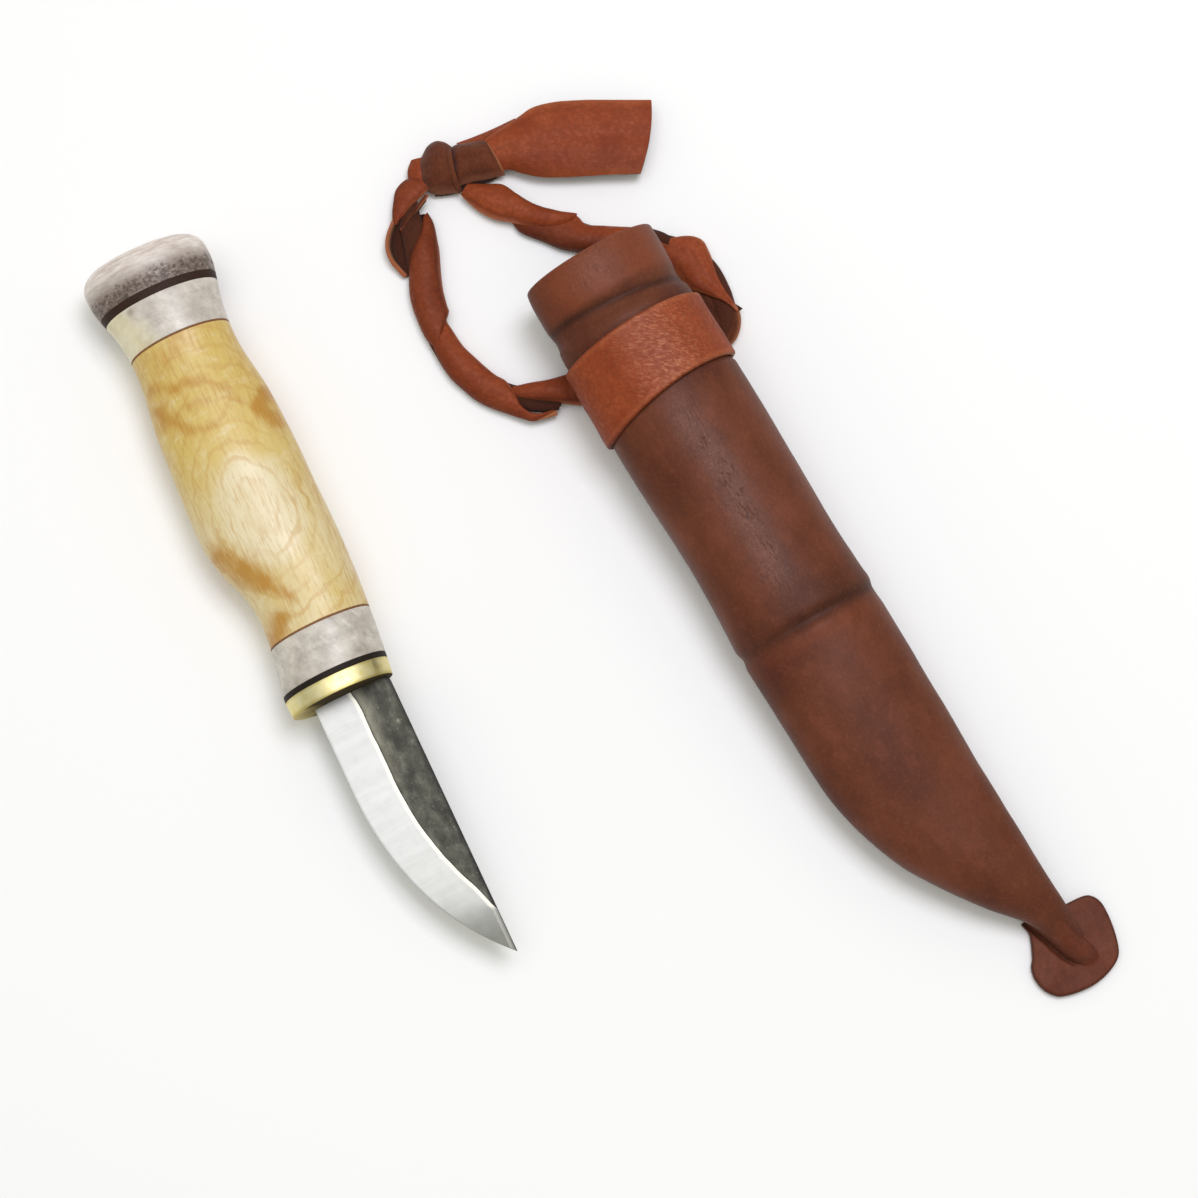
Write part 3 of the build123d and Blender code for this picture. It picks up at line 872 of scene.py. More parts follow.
@dataclass
class Blade:
    """The forged blade with its ground bevels and stick tang."""

    length: float = 62.0
    thickness: float = 3.0
    back: float = 10.1          # how far the back stands from the axis
    drop: float = 6.5           # how far the edge stands from it on the other side
    straight: float = 19.0      # the edge runs straight this far and then sweeps up
    bevel: float = 8.6          # height of the bevel
    bevel_end: float = 7.4      # the bevel is lower where the edge sweeps up
    corner: float = 1.2         # rounding of the back's corner at the heel
    tang: Row = (9.0, 5.0, 2.6, 0.8)     # height at the heel, at the end, thickness and rise
    edge_half: float = 0.05     # half the thickness that the belt leaves at the edge
    pit: Row = (9.5, 8.2, 0.4, 0.3)     # a forging pit: along, up and half its length and height
    steps: int = 150            # stretches along the blade
    bevel_steps: int = 40       # strips from the edge to the shoulder
    flat_steps: int = 16        # strips from the shoulder to the back

    def edge(self, along: float) -> float:
        """Level of the cutting edge at one place."""
        share = max((along - self.straight) / (self.length - self.straight), 0.0)
        return (0.72 * share**2 + 0.28 * share**4) * (self.drop + self.back - 0.1) - self.drop

    def top(self, along: float) -> float:
        """Level of the back at one place: its corner at the heel is rounded."""
        depth = max(1 - along / self.corner, 0.0)
        return self.back - self.corner * (1 - math.sqrt(1 - depth * depth))

    def build(self, handle: Handle) -> bpy.types.Object:
        """Build the blade in the handle's frame.

        Args:
            handle: the handle that it stands in.

        Returns:
            The blade.
        """
        skin = Skin.empty("forged_blade")
        rings = []
        for i in range(self.steps + 1):
            along = self.length * (1 - (1 - i / self.steps) ** 1.15)
            rings.append(self.add_section(skin, handle, min(along, self.length - 0.02)))
        strips = self.bevel_steps
        count = len(rings[0])
        ground = [1 if k < strips or k > count - strips - 2 else 0 for k in range(count)]
        for a, b in zip(rings, rings[1:]):
            skin.join(a, b, ground)
        skin.cap(rings[-1])
        skin.cap(rings[0], flip=True)
        self.add_tang(skin, handle)
        return skin.build([BladeSteel(SteelPart.SCALE).make(), BladeSteel(SteelPart.GROUND).make()], 16)

    def half_section(self, level: float, top: float, grind: float, half: float) -> list[tuple[float, float]]:
        """One face of the blade's cross-section, from the edge to the back.

        Args:
            level: level of the cutting edge.
            top: level of the back.
            grind: height of the bevel.
            half: half the thickness over the bevel.

        Returns:
            Level and distance from the middle at each point.
        """
        edge, strips = self.edge_half, self.bevel_steps
        shoulder = level + grind
        flat = top - shoulder
        ease = min(0.22, flat * 0.4, half * 0.5)
        return [
            (level, edge),
            *((level + grind * k / strips, edge + (half - edge) * k / strips) for k in range(1, strips + 1)),
            *((shoulder + flat * k / self.flat_steps, half) for k in range(1, self.flat_steps)),
            (top - ease * 0.3, half - ease * 0.1),
            (top, half - ease),
        ]

    def add_section(self, skin: Skin, handle: Handle, along: float) -> list[int]:
        """Add one cross-section with its painted values.

        Args:
            skin: the blade's mesh.
            handle: the handle that it stands in.
            along: distance from the heel.

        Returns:
            The numbers of its points, from the edge up one face and down the other.
        """
        level, top = self.edge(along), self.top(along)
        half_full = self.thickness / 2
        wander = 0.12 * wobble(Vector((along, 3, 0)), 7.0) + 0.08 * wobble(Vector((along, 9, 0)), 2.2)
        bevel = self.bevel + (self.bevel_end - self.bevel) * smoothstep(46, 54, along)
        grind = min(bevel + wander - 0.5 * bump(along, 0, 2.2), top - 0.14 - level)
        half = min(self.edge_half + grind * (half_full - self.edge_half) / bevel, half_full)
        shoulder = level + grind
        face = self.half_section(level, top, grind, half)
        profile = face + [(v, -w) for v, w in reversed(face)]
        pit_along, pit_up, pit_long, pit_high = self.pit
        points, paint = [], {"dark": [], "glint": [], "sheen": []}
        for v, w in profile:
            place = Vector((along, v, w * 4))
            on_flat = smoothstep(shoulder, shoulder + 0.6, v) * smoothstep(top, top - 0.8, v)
            forged = on_flat * (0.04 * wobble(place, 3.4) + 0.03 * wobble(place, 1.3, 5))
            pit = bump(along, pit_along, pit_long) * bump(v, pit_up, pit_high)
            lift = (forged - 0.2 * pit) * (1 if w > 0 else -1)
            points.append(Vector((handle.face + along, handle.axis_y + v, handle.axis_z + w + lift)))
            # Darker on the bevel toward the tip, along the cutting edge, partly its thin second bevel and
            # partly painted shade, and along the back.
            tip = 0.55 * smoothstep(44, self.length - 3, along) + 0.1 * wobble(place, 2.0)
            rim = (0.35 + 0.35 * smoothstep(15, 40, along)) * bump(v, level, 0.28)
            back_line = 0.9 * smoothstep(top - 0.9, top - 0.1, v)
            paint["dark"].append(min(max(tip if v < shoulder - 0.9 else 0.0, rim, back_line), 1.0))
            facet = 0.7 + 0.12 * wobble(place, 4.0, 7.0)
            lit = smoothstep(shoulder - facet - 0.2, shoulder - facet + 0.2, v)
            paint["glint"].append(lit * (v < shoulder + 0.01) * smoothstep(0.0, 0.7, top - shoulder))
            gleam = 0.6 * bump(v, shoulder + 0.7, 1.4) * smoothstep(28, 4, along)
            gleam += 0.2 * bump(v, shoulder, 0.9)
            paint["sheen"].append(min(on_flat * gleam + 1.2 * pit, 1.0))
        return skin.ring(points, **paint)

    def add_tang(self, skin: Skin, handle: Handle) -> None:
        """Add the stick tang, from the heel back through the stack.

        Args:
            skin: the blade's mesh.
            handle: the handle that holds it.
        """
        low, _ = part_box("blade")
        end = low.x / MM - handle.face
        heel_height, end_height, thick, rise = self.tang
        rings = []
        corners = [(-1, -1), (1, -1), (1, 1), (-1, 1)]
        for share in (0.0, 0.5, 1.0):
            x = handle.face + end * share
            half_height = (heel_height + (end_height - heel_height) * share) / 2
            rings.append(skin.ring([
                Vector((x, handle.axis_y + rise + a * half_height, handle.axis_z + b * thick / 2))
                for a, b in corners]))
        for a, b in zip(rings, rings[1:]):
            skin.join(b, a)
        skin.cap(rings[0], flip=True)
        skin.cap(rings[-1])


@dataclass
class Knife:
    """Blade, bolster and handle."""

    # Name and length of each piece, from the bolster's face back.
    lengths: tuple[tuple[str, float], ...] = (
        ("brass_bolster", 3.6),
        ("front_black_spacer", 1.2),
        ("front_antler_ring", 9.9),
        ("front_liner", 0.4),
        ("birch_grip", 66.8),
        ("rear_liner", 0.4),
        ("rear_antler_ring", 9.1),
        ("rear_dark_spacer", 1.7),
        ("antler_pommel", 10.0),
    )

    def finishes(self) -> dict[str, bpy.types.Material]:
        """Make each piece's finish."""
        ring = Antler().make()
        red = Fibre("red_fibre_sanded", "#7C5034", "#946542").make()
        return {
            "brass_bolster": Brass().make(),
            "front_black_spacer": Fibre("black_fibre_sanded", "#1A120D", "#2A1F18").make(),
            "front_antler_ring": ring,
            "front_liner": red,
            "birch_grip": CurlyBirch().make(),
            "rear_liner": red,
            "rear_antler_ring": ring,
            "rear_dark_spacer": Fibre("brown_fibre_sanded", "#2B1A13", "#3F281D").make(),
            "antler_pommel": Antler(AntlerPart.BUTT).make(),
        }

    def painting(self, handle: Handle) -> dict[str, Rules]:
        """Rules for the values painted on each piece, from a place on the handle."""
        return {
            "birch_grip": {"amber": handle.flame, "loops": handle.loops, "pale": handle.pale},
            "rear_antler_ring": {
                "cream": lambda p: smoothstep(-3.0, -9.0, p.y + 0.35 * (p.x - 87) + 1.2 * wobble(p, 2.5)),
                "rose": lambda p: 0.12,
                "pores": lambda p: 0.9 * bump(p.x, 90.4, 0.6) * bump(p.y, -6.4, 0.8),
            },
            "front_antler_ring": {
                "cream": lambda p: 0.0,
                "pores": lambda p: 0.10 * bump(p.x, 5.5, 1.2),
                "rose": lambda p: 0.0,
            },
            "antler_pommel": {
                "cream": lambda p: 0.0,
                "pores": lambda p: smoothstep(99.9 + 0.9 * wobble(p, 2.5), 95.0, p.x),
                "rose": lambda p: 0.5 + 0.5 * smoothstep(96.0, 101.5, p.x),
            },
            "brass_bolster": {
                # Painted shade on the front face, but for its belly rim, and a painted dark reflection on the
                # back side.
                "shade_and_reflection": lambda p: max(0.95 * (p.x < 0.02) * smoothstep(-9.5, -6.5, p.y),
                                      0.9 * bump(p.y, 8.6, 0.35) * bump(p.x, 2.4, 1.4)),
                "rim": lambda p: 0.8 * bump(p.x, 0.0, 0.5) + 0.5 * bump(p.x, 3.6, 0.4),
            },
        }

    def build(self) -> None:
        """Build and dress every piece of the knife."""
        handle = Handle()
        materials, rules = self.finishes(), self.painting(handle)
        front = 0.0
        for name, length in self.lengths:
            rear = front + length
            piece = handle.piece(f"{name}_shaped", front, rear, materials[name], rules.get(name, {}))
            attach(piece, "knife")
            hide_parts(name)
            logging.info("%s from %.1f to %.1f mm", piece.name, front, rear)
            front = rear
        blade = Blade().build(handle)
        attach(blade, "knife")
        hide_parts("blade")
        dress("tang_glue", GlueResin().make())
        logging.info("%s with %d faces", blade.name, len(blade.data.polygons))


# ------------------------------------------------------------------- the sheath
@dataclass
class SheathForm:
    """Where the sheath lies and its moulded outline."""

    turn: float = 4.6           # from the knife's own direction, in degrees
    pitch: float = 2.5          # dip from the band to the tip, in degrees
    girth: float = 23.6         # height round the handle
    band_middle: float = 27.0   # from the mouth
    band_width: float = 17.6
    band_thick: float = 1.4
    gap: float = 0.3            # between leathers that lie on each other
    ridge: float = 88.4         # from the mouth to the ridge over the liner's collar
    press: Row = (0.8, 0.6)     # how far the band presses in at its right and left
    mouth_from_bolster: Row = (-60.7, 84.7)
    # From the mouth: edge side, back side, height and drop of the middle there.
    rows: tuple[Row, ...] = (
        (0.0, 15.4, 14.0, 22.4, 0.0),
        (3.0, 15.8, 14.2, 23.4, 0.0),
        (8.8, 15.8, 14.1, 23.6, 0.0),
        (11.0, 15.5, 13.8, 22.6, 0.0),
        (12.4, 15.3, 13.7, 22.1, 0.0),
        (14.0, 15.5, 14.0, 22.6, 0.0),
        (16.4, 15.9, 14.6, 23.6, 0.0),
        (29.5, 15.9, 15.0, 23.6, 0.0),
        (42.0, 15.9, 15.3, 23.6, 0.0),
        (56.0, 15.3, 15.4, 23.2, 0.0),
        (70.0, 14.9, 15.3, 22.8, 0.0),
        (82.4, 15.3, 15.7, 22.6, 0.0),
        (86.2, 15.5, 16.0, 22.4, 0.0),
        (88.4, 15.0, 15.6, 20.8, 0.0),
        (90.6, 15.3, 15.7, 22.0, 0.0),
        (93.4, 15.2, 15.9, 21.6, 0.0),
        (104.4, 14.8, 16.0, 20.2, 0.0),
        (118.0, 14.4, 16.0, 18.4, 0.0),
        (126.0, 13.3, 16.0, 17.2, 0.0),
        (133.0, 11.4, 16.05, 15.8, 0.0),
        (140.0, 8.7, 16.1, 14.0, 0.0),
        (146.0, 5.2, 16.3, 12.4, 0.0),
        (151.5, 1.5, 16.4, 10.8, -0.2),
        (157.0, -2.7, 16.6, 9.0, -0.8),
        (163.5, -8.4, 17.1, 6.6, -2.3),
        (168.0, -10.5, 17.3, 5.2, -3.8),
        (172.5, -12.1, 17.8, 4.0, -4.8),
        (177.0, -14.4, 18.8, 3.0, -5.3),
    )

    def __post_init__(self) -> None:
        """Set the floor frame under the mouth and the pitched frame along the sheath."""
        handle = Handle()
        turn, pitch = math.radians(self.turn), math.radians(self.pitch)
        standing = self.girth / 2 + self.gap + self.band_thick
        foot = self.band_middle + self.band_width / 2
        height = standing * math.cos(pitch) + foot * math.sin(pitch)
        across, up = self.mouth_from_bolster
        base = Vector((handle.face + across, handle.axis_y + up, 0))
        self.floor = Matrix.Translation(base) @ Matrix.Rotation(turn, 4, "Z")
        self.axis = Matrix.Translation(base + Vector((0, 0, height))) @ Matrix.Rotation(
            turn, 4, "Z") @ Matrix.Rotation(pitch, 4, "Y")
        self.dense = smooth_rows(self.rows, 6)

    def on_floor(self, point: Sequence[float]) -> Vector:
        """Place given as along, across and height, in the row frame."""
        return self.floor @ Vector(point)

    def pressed(self, angle: float) -> float:
        """How far the band presses the leather in, round the sheath."""
        right, left = self.press
        side = math.cos(angle)
        return right * smoothstep(0.3, 1.0, side) + left * smoothstep(0.3, 1.0, -side)

    def skin_point(self, along: float, angle: float, grow: float = 0.0) -> Vector:
        """Place on the sheath's skin, in the row frame.

        Args:
            along: distance from the mouth.
            angle: round the sheath, 0 at its back side and a quarter turn at the top.
            grow: distance out of the skin.

        Returns:
            The place in millimetres.
        """
        edge_side, back_side, height, drop = at_row(self.dense, along)
        middle, half_wide = (back_side - edge_side) / 2, (back_side + edge_side) / 2
        y = middle + (half_wide + grow) * math.cos(angle)
        z = drop + (height / 2 + grow) * math.sin(angle)
        return self.axis @ Vector((along, y, z))


@dataclass
class SheathBody:
    """The moulded leather body with its open mouth, ridge, tongue and leaf."""

    form: SheathForm
    leather: float = 1.5
    around: int = 144
    end: float = 172.0          # the moulded form ends inside the leaf
    lining_end: float = 90.0    # how deep the flesh side is seen
    # The flat leaf's outline on the table.
    leaf: tuple[Row, ...] = (
        (163.2, 12.0), (163.7, 17.2), (164.15, 21.8), (165.25, 23.5), (167.1, 24.3), (169.5, 24.3),
        (172.5, 23.85), (175.3, 23.1), (177.6, 22.1), (179.0, 20.6), (180.2, 17.7), (180.7, 14.5),
        (180.5, 11.3), (179.8, 8.3), (178.95, 6.5), (176.8, 4.9), (173.9, 4.3), (171.4, 4.9),
        (169.8, 6.1), (167.2, 7.4), (165.3, 8.1), (163.75, 7.9), (162.8, 7.85), (162.7, 9.6),
    )
    # The tongue on the leaf: along, left side, right side and how far it stands out.
    tongue: tuple[Row, ...] = (
        (162.0, 8.6, 17.4, 6.9), (163.5, 8.9, 17.3, 6.4), (166.0, 9.8, 17.2, 5.4),
        (168.5, 10.7, 17.0, 4.4), (171.0, 11.4, 17.3, 3.5), (173.0, 12.1, 17.9, 2.7),
        (174.8, 13.1, 18.2, 1.9), (176.2, 14.3, 18.0, 1.2), (177.2, 15.6, 17.2, 0.5),
    )

    def groove(self, along: float, angle: float, width: float) -> float:
        """Share of the groove over the band, which runs a little aslant."""
        return bump(along, 12.0 + 1.4 * math.cos(angle), width)

    def relief(self, along: float, angle: float) -> float:
        """Creases and swells of the moulded leather, in millimetres."""
        top = math.sin(angle)
        place = self.form.axis @ Vector((along, 16 * math.cos(angle), 12 * top))
        value = 0.12 * wobble(place, 11) + 0.05 * wobble(place, 4, 3)
        value -= 0.30 * self.groove(along, angle, 0.9) * max(top, 0)
        value += 0.22 * bump(along, 16.3, 1.1) * max(top, 0)
        value -= self.form.pressed(angle) * smoothstep(18.5, 20.5, along) * smoothstep(34.0, 32.0, along)
        return value * smoothstep(178, 150, along)

    def wrinkle(self, along: float, angle: float) -> float:
        """Where the grain is crazed and painted glitter shows: a strip over the handle along the crest, and a
        patch at the mouth.
        """
        crest = 1.64 + 0.10 * wobble(Vector((along, 2, 0)), 12)
        strip = bump(angle, crest, 0.25) * smoothstep(31, 44, along) * smoothstep(88, 74, along)
        return max(strip, 0.55 * bump(angle, crest, 0.55) * smoothstep(11, 6, along))

    def shade(self, along: float, angle: float) -> float:
        """Painted shade: darker on the lower sides, in the groove over the band and at the ridge."""
        low = 0.42 * smoothstep(0.45, -0.1, math.sin(angle))
        groove = 0.75 * self.groove(along, angle, 0.8) + 0.3 * bump(along, 18.4, 1.2)
        past = along - self.form.ridge
        ridge = 0.65 * bump(past, -0.2, 1.5) + 0.35 * bump(past, -4.0, 3.5)
        ridge *= 0.45 + 0.55 * smoothstep(-0.9, 0.1, math.cos(angle))
        return min(max(low, groove, ridge), 0.9)

    def rubbed(self, along: float, angle: float) -> float:
        """Painted highlight: on the top of the mouth and on the slope just below the ridge."""
        mouth = 0.4 * smoothstep(11.0, 8.5, along) * smoothstep(-0.2, 0.9, math.sin(angle))
        return mouth + 0.2 * bump(along, self.form.ridge + 3.4, 1.8) * max(math.sin(angle), 0)

    def build(self) -> list[bpy.types.Object]:
        """Build the body and the leaf.

        Returns:
            The two pieces.
        """
        skin = Skin.empty("sheath_body")
        angles = [math.tau * i / self.around for i in range(self.around)]
        places = [0.0, 0.12, 0.3, 0.55, 0.85]
        along = 1.2
        while along < self.end:
            places.append(along)
            fine = 8 < along < 20 or 80 < along < 96
            along += 0.35 if fine else 0.75
        rings = []
        for along in places:
            drawn_in = 0.55 - math.sqrt(max(0.55**2 - max(0.55 - along, 0.0) ** 2, 0.0))
            points = [self.form.skin_point(along, a, self.relief(along, a) - drawn_in) for a in angles]
            rings.append(skin.ring(
                points,
                dark=[self.shade(along, a) for a in angles],
                rub=[self.rubbed(along, a) for a in angles],
                wrinkle=[self.wrinkle(along, a) for a in angles]))
        for a, b in zip(rings, rings[1:]):
            skin.join(a, b)
        skin.cap(rings[-1])
        # Inside, the flesh side runs down to the blade liner's collar.
        inner = []
        for along in [0.12, 0.3, 0.7, 1.2] + [2.0 + i for i in range(int(self.lining_end - 2))]:
            eased = max(0.6 - along, 0.0) * 0.6
            points = [self.form.skin_point(along, a, -self.leather + eased) for a in angles]
            # Painted shade, darker deeper in; of it only the rim, which has the grain finish, shows.
            inner.append(skin.ring(points, dark=[0.3 + 0.5 * smoothstep(0, 20, along)] * self.around))
        skin.join(inner[0], rings[0], 0)
        for a, b in zip(inner, inner[1:]):
            skin.join(b, a, 1)
        body = skin.build([
            SheathLeather(turn=self.form.turn).make(), SheathLeather(LeatherSide.FLESH).make()], 50)
        return [body, self.build_leaf()]

    def ridge_height(self, along: float, across: float) -> float:
        """How far the tongue stands out of the leaf at one place."""
        left, right, height = at_row(self.tongue, along)
        share = (across - (left + right) / 2) / ((right - left) / 2)
        return height * math.sqrt(max(1 - share * share, 0.0)) * smoothstep(177.4, 174.4, along)

    def build_leaf(self) -> bpy.types.Object:
        """Build the flat leaf at the tip, with the end of the tongue rising out of it.

        Returns:
            The leaf.
        """
        dense = smooth_rows([*self.leaf, self.leaf[0]], 8)[:-1]
        middle = Vector((171.7, 14.3, 0.0))
        skin = Skin.empty("sheath_leaf")
        shares = [0.02 + 0.9 * i / 69 for i in range(70)]
        rim = [(share, 1.0) for share in shares] + [
            (0.95, 0.99), (0.975, 0.94), (0.99, 0.84), (0.998, 0.68), (1.0, 0.45), (0.996, 0.2),
            (0.985, 0.05), (0.96, 0.0), (0.5, 0.0), (0.04, 0.0)]
        rings = []
        for share, level in rim:
            points, dark, rub = [], [], []
            for x, y in dense:
                flat = middle.lerp(Vector((x, y, 0)), share)
                swell = 0.16 * wobble(flat, 5) + 0.06 * wobble(flat, 1.7, 3)
                ridge = self.ridge_height(flat.x, flat.y) if level > 0.9 else 0.0
                left, right, _ = at_row(self.tongue, flat.x)
                crease_highlight = bump(flat.y, right + 0.1, 0.35) * smoothstep(175, 169, flat.x)
                fold = bump(flat.y, left - 0.4, 0.55) * smoothstep(176.5, 173.5, flat.x)
                height = 0.1 + level * (2.0 + swell - 0.6 * fold) + ridge
                points.append(self.form.on_floor((flat.x, flat.y, height)))
                # Darker round the rim, with painted shade in the fold beside the tongue; the whole leaf a
                # little redder and a painted highlight along the tongue's right edge.
                dark.append(min(0.95 * bump(share, 1.0, 0.05) + 0.05 + 0.85 * fold, 1.0))
                rub.append(min(0.15 + 0.6 * crease_highlight, 1.0))
            rings.append(skin.ring(points, dark=dark, rub=rub))
        for a, b in zip(rings, rings[1:]):
            skin.join(b, a)
        skin.cap(rings[0], flip=True)
        skin.cap(rings[-1])
        return skin.build([SheathLeather(turn=self.form.turn).make()], 60)


@dataclass
class CarryBand:
    """The wide strap wrapped round the sheath."""

    form: SheathForm
    lead_skew: float = 2.1      # slant of its two edges, degrees
    tail_skew: float = 7.6
    lead_bow: float = 0.8       # how far the edges bow toward the mouth on top
    tail_bow: float = 1.35
    skived: float = 1.05        # its lower edge is cut back by this much
    around: int = 180

    def build(self) -> bpy.types.Object:
        """Build the band.

        Returns:
            The band.
        """
        form = self.form
        skin = Skin.empty("carry_band_strap")
        thick, width = form.band_thick, form.band_width - self.skived
        rings = []
        section = [(0.0, 0.35), (0.1, 0.7), (0.3, 0.93), (0.6, 1.0)]
        for i in range(41):
            section.append((1.0 + i * (width - 2.0) / 40, 1.0))
        section += [(width - e, t) for e, t in reversed(section[:4])]
        for i in range(9):
            section.append((width - 0.3 - i * (width - 0.6) / 8, 0.0))
        for place, level in section:
            share = place / width
            skew = math.radians(self.lead_skew * (1 - share) + self.tail_skew * share)
            bow = self.lead_bow * (1 - share) + self.tail_bow * share
            edge = max(bump(place, 0.0, 0.45), bump(place, width, 0.45))
            points, paint = [], {"dark": [], "rub": [], "wrinkle": []}
            for k in range(self.around):
                angle = math.tau * k / self.around
                side, top = math.cos(angle), math.sin(angle)
                along = form.band_middle - form.band_width / 2 + place
                along -= 16 * side * math.tan(skew) + bow * max(top, 0) ** 2
                spot = Vector((along, 16 * side, 12 * top))
                swell = (0.10 * wobble(spot, 6) + 0.05 * wobble(spot, 2.3, 4)) * level
                lift = 0.15 * bump(share, 0.0, 0.12) * smoothstep(-0.2, 0.9, top)
                grow = form.gap + thick * level + swell + lift - form.pressed(angle)
                points.append(form.skin_point(along, angle, grow))
                # Painted shade on the lower side and darker cut edges; painted highlight along both edges,
                # stronger on the back side; painted sparkle over the top.
                low = 0.35 * smoothstep(0.5, -0.3, top)
                paint["dark"].append(min(0.75 * edge * (1 - level * 0.6) + low, 1))
                paint["rub"].append(0.2 * max(bump(place, 0.9, 0.4), bump(place, width - 0.9, 0.4))
                                    + 0.5 * edge * smoothstep(0.2, 0.9, side))
                paint["wrinkle"].append(bump(angle, 1.45, 0.5) * (1 - 0.6 * edge))
            rings.append(skin.ring(points, **paint))
        for a, b in zip(rings, rings[1:]):
            skin.join(a, b)
        skin.join(rings[-1], rings[0])
        return skin.build([ThongLeather().make()], 60)


@dataclass
class Core:
    """The inner turn of one leg of the thong: a soft roll along a curved route."""

    name: str
    node: str
    route: tuple[Point, ...]
    length: float
    half_wide: float = 2.7
    half_high: float = 1.3
    lie: float = -1.2           # how far the roll sinks below its route
    around: int = 40

    def centreline(self, form: SheathForm) -> list[Vector]:
        """Read the smooth route from its spline.

        Args:
            form: the sheath, whose floor frame the route is given in.

        Returns:
            Points along the route in millimetres.
        """
        data = bpy.data.curves.new(f"{self.name}_route", "CURVE")
        data.dimensions = "3D"
        data.resolution_u = 14
        spline = data.splines.new("NURBS")
        spline.points.add(len(self.route) - 1)
        for knot, place in zip(spline.points, self.route):
            knot.co = (*(form.on_floor(place) * MM), 1.0)
        spline.order_u = 3
        spline.use_endpoint_u = True
        guide = bpy.data.objects.new(data.name, data)
        mesh = bpy.data.meshes.new_from_object(guide)
        points = [v.co / MM for v in mesh.vertices]
        bpy.data.meshes.remove(mesh)
        bpy.data.objects.remove(guide)
        bpy.data.curves.remove(data)
        return points

    def build(self, form: SheathForm, material: bpy.types.Material) -> bpy.types.Object:
        """Build the roll.

        Args:
            form: the sheath that it hangs on.
            material: the strip's flesh side, which faces in.

        Returns:
            The roll.
        """
        self.path = self.centreline(form)
        skin = Skin.empty(self.name)
        rings = []
        for i, point in enumerate(self.path):
            ahead, behind = self.path[min(i + 1, len(self.path) - 1)], self.path[max(i - 1, 0)]
            tangent = (ahead - behind).normalized()
            side = Vector((0, 0, 1)).cross(tangent).normalized()
            up = tangent.cross(side)
            share = i / (len(self.path) - 1)
            wide = self.half_wide * (0.5 + 0.5 * smoothstep(0, 0.14, share) * smoothstep(1, 0.86, share))
            points = []
            for k in range(self.around):
                angle = math.tau * k / self.around
                crumple = 1 + 0.06 * wobble(point + Vector((0, 0, 5 * math.cos(angle))), 3.0)
                points.append(point + up * self.lie + (side * (wide * math.cos(angle))
                                                       + up * (self.half_high * math.sin(angle))) * crumple)
            rings.append(skin.ring(points, dark=[0.55] * self.around))
        for a, b in zip(rings, rings[1:]):
            skin.join(a, b)
        skin.cap(rings[0], flip=True)
        skin.cap(rings[-1])
        roll = skin.build([material], 55)
        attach(roll, "sheath")
        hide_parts(self.node)
        return roll


